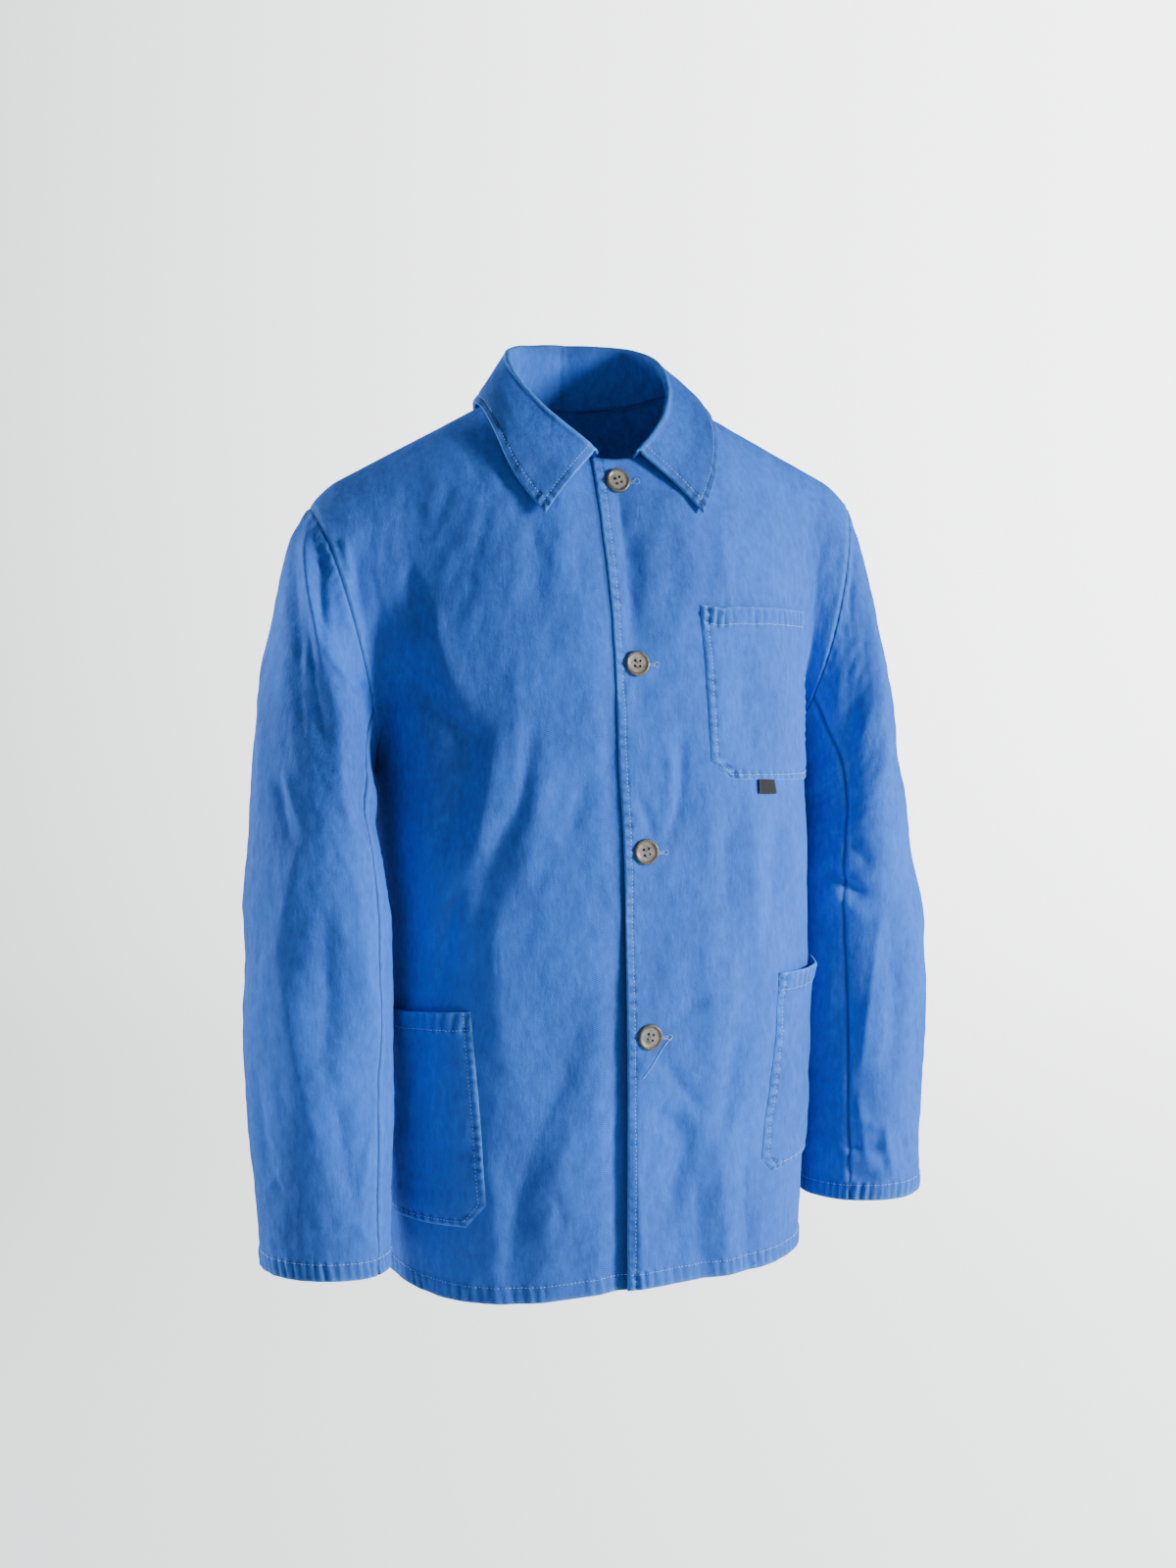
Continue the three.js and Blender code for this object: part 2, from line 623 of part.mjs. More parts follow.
function add_mesh(name, geometry, look) {
  const mesh = new THREE.Mesh(geometry, new THREE.MeshStandardMaterial(look));
  mesh.name = name;
  group.add(mesh);
}

// Where two pieces turn back on each other at a seam, as under the arm, each keeps its own normal
const all_normals = shared_normals(pieces);
for (const piece of Object.values(pieces)) {
  const own_normals = shared_normals({ piece });
  piece.turned = piece.grid.map((points) => points.map((point) => {
    const key = place_key(point);
    return own_normals.get(key).dot(all_normals.get(key)) < turned_back;
  }));
  piece.normals = piece.grid.map((points, row) => points.map((point, column) => {
    const key = place_key(point);
    return piece.turned[row][column] ? own_normals.get(key) : all_normals.get(key);
  }));
}

function moved_out(piece, grid, distance) {
  return grid.map((points, row) => points.map((point, column) => (
    point.clone().addScaledVector(piece.normals[row][column], distance(row, column)))));
}

for (const [name, piece] of Object.entries(pieces)) {
  piece.shaped = moved_out(piece, piece.grid, (row, column) => (
    piece.moved(row, column, piece.grid[row][column])));
  const parted = moved_out(piece, piece.shaped, (row, column) => (
    piece.turned[row][column] ? -seam_gap / 2 : 0));
  const outer = drawn_in(parted);
  add_mesh(name, wall_geometry(outer, moved_out(piece, outer, () => -cloth)), blue_cloth);
}

// A point on the outside of a front, at a distance across from the middle and a height
function front_surface_point(across, z) {
  const side = across < 0 ? -1 : 1;
  const share = Math.abs(across) / front_half_length;
  if (z < underarm_z) return body_point(share * side_seam_share, side, z);
  let low = 0;
  let high = 1;
  for (let step = 0; step < bisection_steps; step += 1) {
    const middle = (low + high) / 2;
    if (upper_point(true, side, share, middle).z > z) low = middle;
    else high = middle;
  }
  return upper_point(true, side, share, low);
}

function manifold_of(geometry) {
  const bare = new THREE.BufferGeometry();
  bare.setAttribute("position", geometry.attributes.position);
  if (geometry.index) bare.setIndex(geometry.index);
  const merged = mergeVertices(bare, 1e-4);
  const corners = merged.index.array;
  const faces = [];
  for (let at = 0; at < corners.length; at += 3) {
    const [a, b, c] = [corners[at], corners[at + 1], corners[at + 2]];
    if (a !== b && b !== c && c !== a) faces.push(a, b, c);
  }
  return new wasm.Manifold(new wasm.Mesh({
    numProp: 3,
    vertProperties: Float32Array.from(merged.attributes.position.array),
    triVerts: Uint32Array.from(faces),
  }));
}

function geometry_of(manifold) {
  const mesh = manifold.getMesh();
  const geometry = new THREE.BufferGeometry();
  geometry.setAttribute("position", new THREE.Float32BufferAttribute(mesh.vertProperties, 3));
  geometry.setIndex(Array.from(mesh.triVerts));
  geometry.computeVertexNormals();
  return geometry;
}

// A patch is a layer over the outside of a front, cut to its outline by a prism that looks its way
function patch(front, shape, lift) {
  const layer = manifold_of(wall_geometry(
    moved_out(front, front.shaped, () => lift + patch_cloth), moved_out(front, front.shaped, () => lift)));
  const facing = THREE.MathUtils.degToRad(shape.facing);
  const ahead = new THREE.Vector3(Math.sin(facing), -Math.cos(facing), 0);
  const across = new THREE.Vector3(Math.cos(facing), Math.sin(facing), 0);
  const up = new THREE.Vector3(0, 0, 1);
  const flat = [];
  shape.outline.forEach((corner, index) => {
    const next = shape.outline[(index + 1) % shape.outline.length];
    for (let step = 0; step < outline_steps; step += 1) {
      const part = step / outline_steps;
      const [across_at, z_at] = [0, 1].map((axis) => mix(corner[axis], next[axis], part));
      const point = front_surface_point(across_at, z_at);
      flat.push(new THREE.Vector2(point.dot(across), point.z));
    }
  });
  if (THREE.ShapeUtils.isClockWise(flat)) flat.reverse();
  const prism = new THREE.ExtrudeGeometry(
    new THREE.Shape(flat), { depth: prism_depth, bevelEnabled: false });
  prism.applyMatrix4(new THREE.Matrix4().makeBasis(across, up, ahead));
  return geometry_of(layer.intersect(manifold_of(prism)));
}

for (const [name, shape] of Object.entries(pocket_shapes)) {
  const front = shape.facing > 0 ? pieces.front_left : pieces.front_right;
  add_mesh(name, patch(front, shape, seam_gap), blue_cloth);
}
add_mesh("label_tab", patch(pieces.front_left, tab_shape, seam_gap), black_cloth);

function button_geometry() {
  const profile = button_profile.map(([radius, height]) => new THREE.Vector2(radius, height));
  let disc = manifold_of(new THREE.LatheGeometry(profile, button_sides));
  for (const [side_x, side_y] of [[1, 1], [-1, 1], [-1, -1], [1, -1]]) {
    const hole = new THREE.CylinderGeometry(
      button_hole_radius, button_hole_radius, button_radius, button_hole_sides);
    hole.translate(side_x * button_hole_offset, 0, side_y * button_hole_offset);
    disc = disc.subtract(manifold_of(hole));
  }
  return geometry_of(disc);
}

// The point and normal of the cloth that lie straight behind a place in front view
function on_cloth(grid, x, z) {
  const place = new THREE.Vector3(x, 0, z);
  const flat = (point) => new THREE.Vector3(point.x, 0, point.z);
  for (let row = 0; row < grid.length - 1; row += 1) {
    for (let column = 0; column < grid[0].length - 1; column += 1) {
      const [a, b, c, d] = [grid[row][column], grid[row + 1][column],
        grid[row + 1][column + 1], grid[row][column + 1]];
      for (const corners of [[a, b, c], [a, c, d]]) {
        const share = THREE.Triangle.getBarycoord(place, ...corners.map(flat), new THREE.Vector3());
        if (share && Math.min(share.x, share.y, share.z) >= 0) {
          const triangle = new THREE.Triangle(...corners);
          const point = new THREE.Vector3();
          corners.forEach((corner, index) => point.addScaledVector(corner, share.getComponent(index)));
          return { point, normal: triangle.getNormal(new THREE.Vector3()) };
        }
      }
    }
  }
  throw new Error("no cloth there");
}

// Each button rests on the lapped front, square to the cloth there and clear of it all round
function seated_button(height) {
  const grid = pieces.front_left.shaped;
  const { point } = on_cloth(grid, 0, height);
  const outward = new THREE.Vector3();
  const rim = [];
  for (let step = 0; step < button_sides; step += 1) {
    const turn = 2 * Math.PI * step / button_sides;
    const place = on_cloth(
      grid, button_radius * Math.cos(turn), height + button_radius * Math.sin(turn));
    rim.push(place.point);
    outward.add(place.normal);
  }
  outward.normalize();
  const lifts = rim.map((place) => place.clone().sub(point).dot(outward));
  const seat = point.addScaledVector(outward, Math.max(0, ...lifts) + seam_gap);
  const right = new THREE.Vector3(1, 0, 0).addScaledVector(outward, -outward.x).normalize();
  const down = new THREE.Vector3().crossVectors(right, outward);
  const stance = new THREE.Matrix4().makeBasis(right, outward, down).setPosition(seat);
  return button_geometry().applyMatrix4(stance);
}

button_heights.forEach((height, index) => add_mesh(`button_${index + 1}`, seated_button(height), horn));

export default group;
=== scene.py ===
# Chore jacket of worn blue cotton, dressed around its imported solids.
# Tables and cloth sizes are in millimetres and the finished meshes in metres; +Z is up, the front
# faces -Y and the wearer's left is towards +X. The origin is the middle of the neck base.
import math
from types import SimpleNamespace

import bmesh
import bpy
import numpy as np
from mathutils import Matrix, Vector


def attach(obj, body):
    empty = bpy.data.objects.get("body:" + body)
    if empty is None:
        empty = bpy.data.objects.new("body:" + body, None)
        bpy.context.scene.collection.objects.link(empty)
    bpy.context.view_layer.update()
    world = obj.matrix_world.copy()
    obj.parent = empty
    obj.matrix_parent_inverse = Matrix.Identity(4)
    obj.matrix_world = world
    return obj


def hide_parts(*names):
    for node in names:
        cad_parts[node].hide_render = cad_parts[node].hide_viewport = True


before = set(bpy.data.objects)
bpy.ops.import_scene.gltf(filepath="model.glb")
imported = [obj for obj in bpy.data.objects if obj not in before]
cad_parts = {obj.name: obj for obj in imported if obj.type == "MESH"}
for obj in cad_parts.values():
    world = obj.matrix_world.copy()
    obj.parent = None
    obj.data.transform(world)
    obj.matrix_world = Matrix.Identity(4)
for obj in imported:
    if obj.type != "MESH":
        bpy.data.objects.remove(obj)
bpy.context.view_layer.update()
bpy.ops.object.select_all(action="DESELECT")

MM = 0.001


def table(names, *rows):
    """Columns by name, from a line of names and one row of numbers for each place."""
    return dict(zip(names.split(), np.array(rows, float).T))


def named(names, **rows):
    """Rows by name, each with its numbers by name."""
    return {name: SimpleNamespace(**dict(zip(names.split(), row))) for name, row in rows.items()}


# Cloth
CLOTH = 1.5
SEAM_GAP = 0.3
LAP_LIFT = (1.6 + SEAM_GAP) / 2
LAP_EASE = 30
LAP = 20

# Neck, shoulders and underarm
NECK_HALF = 75
NECK_FRONT = {"y": -62, "z": -58}
NECK_BACK = {"y": 60, "z": -14}
NECK_FLATNESS = 1.3
SHOULDER_TIP = {"x": 252, "z": -100}
SHOULDER_SLOPE = 0.5
SHOULDER_ROUND = 27
UNDERARM_Z = -318

# Height of the hem, from the wearer's right side seam (-1) round the front to the left one (1)
HEM_LINE = table(
    "share z",
    (-1, -742),
    (-0.45, -751),
    (0, -744),
    (0.45, -741),
    (1, -732),
)

# Half sizes of the body at each level, from its middle
BODY_RINGS = table(
    "down right left front back",
    (318, 190, 190, 125, 118),
    (390, 189, 191, 134, 119),
    (540, 187, 190, 142, 121),
    (640, 185, 186, 142, 122),
    (743, 183, 182, 141, 123),
    (760, 183, 182, 141, 123),
)
EVEN_RING = 2
BODY_SQUARENESS = 2.6
SIDE_SEAM_SHARE = 0.57
FRONT_NECK_SHARE = 0.27
BACK_NECK_SHARE = 0.33
NECK_CROWDING = 1.25
BACK_HEM_BEND = 2

# How the cloth leaves the neckline or shoulder seam and comes down to the chest
FRONT_FALL = table(
    "share lean_x lean_y lean_z rise_x rise_y rise_z",
    (0.0, 0, -18, -72, 0, 6, 100),
    (0.27, 0, -62, -12, 0, 8, 140),
    (0.6, 0, -60, -8, 0, 2, 125),
    (0.85, -4, -62, -14, 6, -35, 75),
    (1.0, -6, -72, -24, 10, -100, 18),
)
BACK_FALL = table(
    "share lean_x lean_y lean_z rise_x rise_y rise_z",
    (0.0, 0, 22, -60, 0, 2, 110),
    (0.33, 0, 52, -6, 0, 2, 130),
    (0.65, 0, 56, -8, 0, 8, 115),
    (0.85, -4, 55, -16, 6, 30, 75),
    (1.0, -6, 60, -26, 10, 55, 18),
)
LEFT_ARMHOLE_IN = {"top": 15, "bottom": 3}

# Sleeve rings, down along the outside from the shoulder tip
SLEEVE_RIGHT_RINGS = table(
    "down out_x out_z in_x in_z mid_y half_y",
    (0, 252, -100, 196, -318, -8, 68),
    (30, 268, -126, 200, -330, -10, 72),
    (80, 281, -176, 203, -345, -15, 76),
    (140, 294, -236, 205, -362, -22, 77),
    (210, 305, -306, 203, -390, -32, 77),
    (290, 313, -386, 198, -432, -42, 75),
    (380, 318, -475, 196, -500, -48, 71),
    (470, 318, -565, 197, -578, -52, 67),
    (560, 312, -650, 199, -656, -56, 61),
    (625, 307, -719, 201, -721, -60, 56),
)
SLEEVE_LEFT_RINGS = table(
    "down out_x out_z in_x in_z mid_y half_y",
    (0, 252, -100, 196, -318, 0, 68),
    (30, 262, -126, 200, -330, 2, 72),
    (80, 270, -176, 202, -345, 5, 76),
    (140, 280, -236, 204, -362, 6, 77),
    (210, 292, -306, 204, -390, 6, 77),
    (290, 305, -386, 199, -432, 5, 75),
    (380, 320, -475, 197, -500, 2, 71),
    (470, 319, -560, 197, -572, -6, 67),
    (560, 309, -645, 198, -650, -16, 61),
    (620, 303, -708, 198, -709, -24, 56),
)
SLEEVE_HEAD = 130
SLEEVE_SEAM_SHARE = 0.35

# Collar, from a front end (0) to centre back (1)
COLLAR_SEAM = table(
    "share x y z",
    (0.0, 17, -61.6, -55.6),
    (0.15, 34, -54.6, -43.8),
    (0.3, 56, -39.6, -25.8),
    (0.45, 73, -12, -2.8),
    (0.6, 73.5, 14, 1.2),
    (0.8, 52, 43.5, -6.8),
    (1.0, 0, 59.6, -11.9),
)
COLLAR_ROLL = table(
    "share x y z",
    (0.0, 17, -69, -50),
    (0.15, 32, -62, -36),
    (0.3, 52, -43, -15),
    (0.45, 66, -14, 10),
    (0.6, 66, 16, 32),
    (0.8, 47, 44, 42),
    (1.0, 0, 58, 45),
)
COLLAR_EDGE = table(
    "share x y z",
    (0.0, 72, -89, -103),
    (0.15, 83, -79, -87),
    (0.3, 94, -67, -66),
    (0.45, 102, -48, -36),
    (0.52, 105, -22, -15),
    (0.6, 104, 6, -9),
    (0.8, 82, 51, -27),
    (0.9, 46, 73, -27),
    (1.0, 0, 79, -26),
)
COLLAR_ROLL_RADIUS = 3
STAND_ROWS = 14
ROLL_ROWS = 8
COLLAR_BULGE = 2.5
COLLAR_SHARE_A_MM = 0.0068
COLLAR_TUCK = 3.8
COLLAR_PADDING = {"out": 0.6, "in": 0.5, "from": 20}
COLLAR_FALL_FROM = 45
COLLAR_FALL_EASE = 12
COLLAR_FREE_SEAM = 15
COLLAR_FREE_EDGE = 10
COLLAR_ROLL_FADED = 0.5
COLLAR_TROUGHS = 1.2

# Folds run from one place to another, in their own widths; a depth below zero is a trough. Bow is how
# far a fold curves aside at its middle. Across is millimetres from the middle of a body piece, towards
# the wearer's left, and degrees round a sleeve from its outside through its front.
FOLD_NAMES = "from_across from_z to_across to_z width depth bow"
FRONT_FOLDS = table(
    FOLD_NAMES,
    # wearer's right: by the armhole
    (-288, -118, -291, -165, 6, 4, 5),
    (-294, -120, -301, -158, 4, -4, 0),
    (-281, -126, -286, -210, 10, -4.5, 2),
    (-211, -145, -193, -215, 13, -4, 3),
    (-172, -70, -190, -112, 8, 1, 1),
    (-162, -72, -187, -130, 6, -1.3, -2),
    (-134, -80, -147, -142, 8, 1.1, -1),
    (-127, -95, -152, -182, 9, -1.4, 0),
    # the hollow that comes in from the armpit and turns down
    (-244, -215, -118, -302, 17, -8, 4),
    (-136, -255, -192, -408, 19, -7.5, -4),
    (-184, -155, -124, -305, 13, 4.5, 12),
    (-128, -262, -156, -402, 12, 4.5, -9),
    # the two runs beside it
    (-88, -258, -119, -392, 9, -4.5, -2),
    (-104, -335, -150, -455, 11, -4.5, 6),
    (-80, -282, -110, -435, 15, 4, 2),
    (-43, -310, -68, -386, 10, -2.8, 2),
    (-105, -140, -110, -430, 3.5, 0.7, 0),
    # below the collar
    (-98, -100, -110, -190, 10, 1.3, -1),
    (-80, -100, -82, -195, 10, -1.4, 3),
    (-53, -100, -64, -175, 9, 1.3, -1),
    (-37, -90, -41, -185, 9, -1.3, 2),
    # low on the right front
    (-127, -405, -120, -575, 16, 4.5, 6),
    (-44, -462, -112, -648, 22, -3, -6),
    (-56, -500, -104, -632, 6, -0.9, -5),
    (-92, -585, -133, -780, 19, -2.8, 3),
    (-96, -600, -122, -715, 6, -0.9, 3),
    (-70, -592, -98, -800, 17, 2.6, 6),
    (-144, -595, -130, -790, 12, 4, -3),
    (-157, -395, -181, -515, 10, -3.5, 6),
    (-88, -655, -78, -696, 4.5, -2, -3),
    (-29, -430, -27, -830, 11, -5.5, 0),
    (-27, -240, -28, -430, 8, -2, 0),
    # wearer's left: below the collar
    (44, -100, 31, -190, 9, -2.2, 1),
    (21, -120, 13, -200, 10, 1.9, 3),
    (8, -110, 11, -178, 9, -1.8, 2),
    (95, -108, 98, -185, 10, 2.5, 2),
    # round the buttons
    (36, -276, 12, -392, 6, -3.6, -10),
    (-6, -332, 12, -392, 5, -2.8, 0),
    (21, -290, 17, -372, 6, 2.8, -7),
    (8, -239, 38, -250, 4, -1.7, -1),
    (-6, -240, -20, -256, 4, -1.5, 1),
    (4, -536, 56, -503, 7, -3.4, 0),
    (8, -551, 56, -609, 6, -3, 2),
    (-6, -594, 42, -628, 10, -3.8, -3),
    (40, -616, 10, -690, 10, -3.4, -4),
    (-14, -600, -4, -780, 8, 2.8, 1),
    (26, -560, 30, -770, 16, -3.8, 3),
    # from the chest pocket to the hem
    (60, -320, 64, -430, 12, 3, 1),
    (79, -345, 76, -510, 10, -3.4, 2),
    (106, -340, 109, -495, 11, 3.6, 2),
    (136, -345, 128, -470, 12, -3.6, 3),
    (50, -400, 60, -600, 14, 3.2, -2),
    (76, -405, 71, -570, 12, 3.2, -2),
    (82, -515, 67, -640, 10, -3.6, -3),
    (62, -600, 79, -780, 9, 3, -1),
    (92, -620, 105, -770, 8, -3, 1),
    (43, -640, 58, -780, 8, -3, 0),
    (160, -345, 150, -480, 14, 3.4, -4),
)
BACK_FOLDS = table(
    FOLD_NAMES,
    (-192, -190, -96, -330, 17, -8.5, 8),
    (-186, -225, -70, -410, 15, -7.2, 10),
    (-176, -170, -112, -262, 13, 5.2, 5),
    (196, -200, 104, -335, 17, -8.5, -8),
    (190, -238, 84, -430, 15, -6.5, -10),
    (180, -176, 118, -262, 13, 5.2, -5),
    (-150, -92, -162, -150, 7, -3.1, 2),
    (146, -90, 164, -158, 7, -3.4, -2),
    (-52, -60, -44, -150, 10, -3.4, 3),
    (58, -58, 46, -160, 11, -3.4, -3),
    (4, -70, 0, -190, 12, 3.1, 2),
    (-78, -380, -104, -620, 17, 6.5, 6),
    (-44, -400, -62, -800, 16, -7.2, 5),
    (-8, -360, -16, -800, 20, 6, -4),
    (34, -390, 26, -800, 18, -6.5, 5),
    (74, -410, 88, -700, 15, 6, -5),
    (116, -450, 112, -800, 15, -6, 4),
    (-118, -520, -128, -800, 14, -5.7, -4),
    (-162, -400, -150, -600, 12, -4.7, 5),
    (168, -420, 156, -620, 12, -4.7, -5),
    (-90, -640, -84, -790, 8, 3.9, 2),
    (60, -660, 52, -790, 8, 3.9, 2),
    (142, -600, 150, -780, 9, 4.2, 2),
)
SLEEVE_DEGREE = 1.15
SLEEVE_RIGHT_FOLDS = table(
    FOLD_NAMES,
    # head and armpit
    (6, 4, 62, 94, 6, 4.5, 4),
    (52, 72, 112, 14, 7, 4, -20),
    (3, 10, 56, 182, 13, -4.6, 4),
    (25, 2, 62, 60, 10, -5, 4),
    (30, 50, 74, 170, 14, -5, 6),
    (56, 0, 90, 6, 11, 3.5, -3),
    (76, 64, 112, 0, 5, -5, -4),
    (90, 48, 103, 240, 15, 5.5, -13),
    (126, 32, 128, 240, 12, -4.5, -5),
    (-20, 100, 16, 285, 14, 4.5, 14),
    # above the elbow
    (36, 200, 58, 252, 5, 2.4, 0),
    (32, 210, 52, 272, 7, -3.4, -2),
    (62, 236, 36, 392, 10, 3, -3),
    # forearm
    (38, 345, 72, 525, 16, 4.5, 1),
    (68, 280, 69, 470, 15, -5, 12),
    (100, 232, 128, 460, 12, 3.8, -5),
    (86, 450, 106, 585, 12, -4, -5),
    (126, 448, 106, 574, 4.5, 2.2, -1),
    (16, 435, 30, 590, 12, -3.6, -2),
    # old hem and cuff
    (30, 587, 130, 582, 4.5, -1.7, -3),
    (99, 576, 130, 610, 4.5, 2, -3),
    (14, 566, 34, 548, 5, 2.2, 0),
    (28, 546, 46, 566, 5, -2, 0),
    # inside and back of the arm
    (206, 30, 250, 150, 12, -4.5, 5),
    (236, 60, 300, 190, 14, 4, 6),
    (190, 190, 268, 268, 12, -5, -8),
    (186, 250, 276, 292, 10, -5, 6),
    (200, 226, 262, 276, 9, 3.6, 4),
    (250, 270, 322, 380, 14, -4.5, 6),
    (292, 120, 330, 262, 15, -4.5, 8),
    (280, 340, 300, 520, 14, 4, 6),
    (234, 400, 252, 560, 12, -4, 5),
    (316, 440, 334, 600, 11, -3.6, 4),
)
SLEEVE_LEFT_FOLDS = table(
    FOLD_NAMES,
    # head
    (8, 0, 76, 6, 6, 3.2, 0),
    (11, 14, 80, 28, 8, -3.4, 12),
    (34, 30, 76, 245, 16, 4.2, 22),
    (92, 28, 128, 262, 14, -4.6, 12),
    (8, 60, 20, 220, 12, -3.4, -6),
    # bend of the arm
    (146, 266, 102, 326, 6, -6.5, 6),
    (146, 292, 100, 346, 9, 4.4, 6),
    (124, 240, 96, 300, 8, -3.4, 4),
    # forearm
    (92, 318, 118, 530, 4, 1.9, 2),
    (118, 508, 105, 606, 4, 1.9, 3),
    (88, 335, 90, 528, 12, -3.8, -5),
    (128, 350, 128, 525, 12, -4.2, 0),
    (44, 300, 58, 470, 14, 3.4, 6),
    (40, 430, 64, 560, 12, -3.4, 4),
    # gathered above the cuff
    (136, 572, 88, 574, 6, -4.4, 4),
    (136, 585, 92, 588, 5, 3.8, -3),
    (132, 597, 96, 596, 5, -3.4, 2),
    (96, 540, 82, 606, 5, 2.8, 2),
    (124, 540, 94, 558, 6, 2.8, 3),
    (74, 560, 60, 604, 6, -2.6, 2),
    # inside and back of the arm
    (208, 30, 252, 150, 12, -4.5, 5),
    (240, 70, 306, 186, 14, 4, 6),
    (186, 206, 262, 258, 11, -5, -7),
    (184, 262, 280, 300, 10, -5.2, 6),
    (196, 236, 268, 284, 9, 3.6, 3),
    (250, 290, 318, 396, 14, -4.4, 6),
    (288, 110, 334, 250, 15, -4.5, 8),
    (276, 350, 298, 530, 14, 4, 6),
    (232, 410, 250, 560, 12, -4, 5),
    (318, 430, 330, 600, 11, -3.6, 4),
)
# Across the collar is from a front end, below zero on the wearer's right; z is from its seam
COLLAR_FOLDS = table(
    FOLD_NAMES,
    (-14, 78, -50, 118, 8, -1.6, 2),
    (-30, 66, -66, 104, 8, 1.5, 2),
    (-58, 70, -84, 112, 9, -1.7, -3),
    (-96, 74, -112, 116, 9, 1.5, 2),
    (26, 74, 46, 116, 9, -1.5, -2),
    (60, 68, 78, 108, 9, 1.5, 2),
    (98, 70, 116, 112, 9, -1.6, 3),
)
FOLD_CRISPNESS = 1.6
FOLD_FREE_EDGE = 13
FOLD_FREE_TOP = 14

# Sewn edges: how far in the stitches run, how high the ripples stand and how much their tops have
# faded, and the depths of the groove under the stitches and of the layers turned in
SEWN = named(
    "stitch ripple faded groove layers",
    hem=(13, 1.3, 0.4, 0.45, 0.7),
    cuff=(13, 1.1, 0.4, 0.45, 0.7),
    placket=(6.5, 0.9, 0.3, 0.45, 0),
    collar=(7.5, 1.4, 0.55, 0.45, 0),
    pocket=(6.5, 1.0, 0.4, 0.4, 0),
    pocket_top=(15, 0.9, 0.35, 0.5, 0.5),
)
GROOVE_WIDTH = 1.1
LAYER_EASE = 2.5
# Pressed seams: the groove's depth, the ridge beside it and where it stands, the height of the ripples
# and the band they fill, and how far the ridge and the ripples' crests have faded
SEAMS = named(
    "groove ridge ridge_at ripple band faded faded_at faded_width crests",
    body=(0.8, 0.5, 5, 0.35, 9, 0.22, 4.5, 2.0, 0.2),
    sleeve=(0.7, 0.4, 4.5, 0.3, 7, 0.22, 4, 1.8, 0),
)
SEAM_WIDTH = 1.8
SEAM_DYE_WIDTH = 0.9
TOP_DYE_WIDTH = 1.2
RIDGE_WIDTH = 2.2
ARMHOLE_RIPPLE = {"height": 0.7, "band": 10}
PUCKER_PITCH = 9
PUCKER_LEAN = 0.15
# How unevenly the ripples run and how unevenly they stand: size, length and number of waves
PUCKER_WANDER = (1.4, 60, 6)
PUCKER_SWELL = (0.35, 45, 6)
PUCKER_STRENGTH = 0.65
EDGE_ROUND = 0.8
TURN_UP = 1.2

# How much painted shade darkens the hollows of the ripples, and the whole fall of the collar
TROUGH_SHADE = 0.7
COLLAR_SHADE = 0.48

# Soft unevenness, the broad and then the fine: height, length, number of waves and stretch
SOFT = {
    "body": ((1.0, 75, 12, 1.6), (0.3, 22, 14, 1.4)),
    "sleeve": ((0.9, 70, 12, 1), (0.28, 22, 12, 1)),
    "collar": ((0.7, 60, 10, 1), (0.22, 20, 10, 1)),
    "pocket": ((0.8, 55, 10, 1), (0.25, 18, 10, 1)),
}
SLEEVE_RADIUS = 60

# Threads of the stitches
STITCH_PITCH = 3.3
STITCH_LENGTH = 2.5
THREAD_RADIUS = 0.27
STITCH_SIDES = 5
STITCH_PLACES = 120
STITCH_SHIFT = 0.12
STITCH_TILT = 0.06
# How high threads rise over the cloth and how deep their ends go, in a seam, a buttonhole and a button
STITCH_RISE = (0.16, 0.3)
BUTTONHOLE_RISE = (0.45, 0.2)
BUTTON_THREAD_RISE = (0.1, 1.1)

# How far the lapped front edge stands off low down
EDGE_LIFT = 2.6
EDGE_LIFT_REACH = 13
EDGE_LIFT_TOP = -330
EDGE_LIFT_EASE = 160

# How far round a button the cloth is held flat, and how far the painted shadow of the lapped edge
# reaches beside it on the right front, at the top and low down
BUTTON_HOLD = (9, 22)
LAP_SHADE = (3, 12)

# Patch pockets on a front: across and up at their corners, and the slanted corner nearest the middle
POCKETS = {
    "pocket_chest": {
        "top": [(60, -181), (216, -191)],
        "inner": [(60, -181), (64, -312), (84, -329)],
        "outer": [(216, -191), (208, -338)],
        "gape": 1.5,
    },
    "pocket_lower_left": {
        "top": [(131, -495), (280, -497)],
        "inner": [(131, -495), (114, -649), (127, -663)],
        "outer": [(280, -497), (280, -652)],
        "gape": 5.0,
    },
    "pocket_lower_right": {
        "top": [(-152, -512), (-288, -522)],
        "inner": [(-152, -512), (-141, -670), (-160, -690)],
        "outer": [(-288, -522), (-288, -692)],
        "gape": 3.0,
    },
}
POCKET_CLOTH = 1.1
POCKET_CLEAR = 0.25
# A pocket's height over the front at its sewn edge, what it gains in its first millimetres and past
# its stitches, how high its middle stands, and how far down and in its mouth gapes
POCKET_RISE = {"edge": 0.5, "turn": 1.3, "turn_in": 2.5, "stitch": 0.7, "stitch_in": 6, "stitch_ease": 8}
POCKET_MIDDLE = {"rise": 0.6, "from": 18, "share": 0.8}
POCKET_GAPE = {"down": 26, "in": 30}
# Creases on the pockets, at the same places as those on a front
POCKET_FOLDS = table(
    FOLD_NAMES,
    (-196, -540, -226, -670, 8, 2.6, 4),
    (-232, -530, -250, -640, 9, -2.4, 3),
    (-176, -560, -184, -680, 8, -2, 2),
    (100, -190, 104, -320, 9, -1.3, 3),
    (146, -200, 140, -310, 10, 1.4, -3),
    (186, -200, 178, -320, 9, -1.3, 2),
    (150, -520, 144, -640, 9, 1.8, 3),
    (186, -520, 196, -640, 9, -1.8, 3),
)
TAB = {"left": [(113, -330.5), (112, -342.5)], "right": [(132, -332), (133, -344)]}
TAB_CLOTH = 0.9
TAB_OFF = 1.9
TAB_CURL = {"down": 0.5, "turn": 2.4, "across": 0.25}
TAB_WORN = {"most": 0.5, "reach": 0.15}

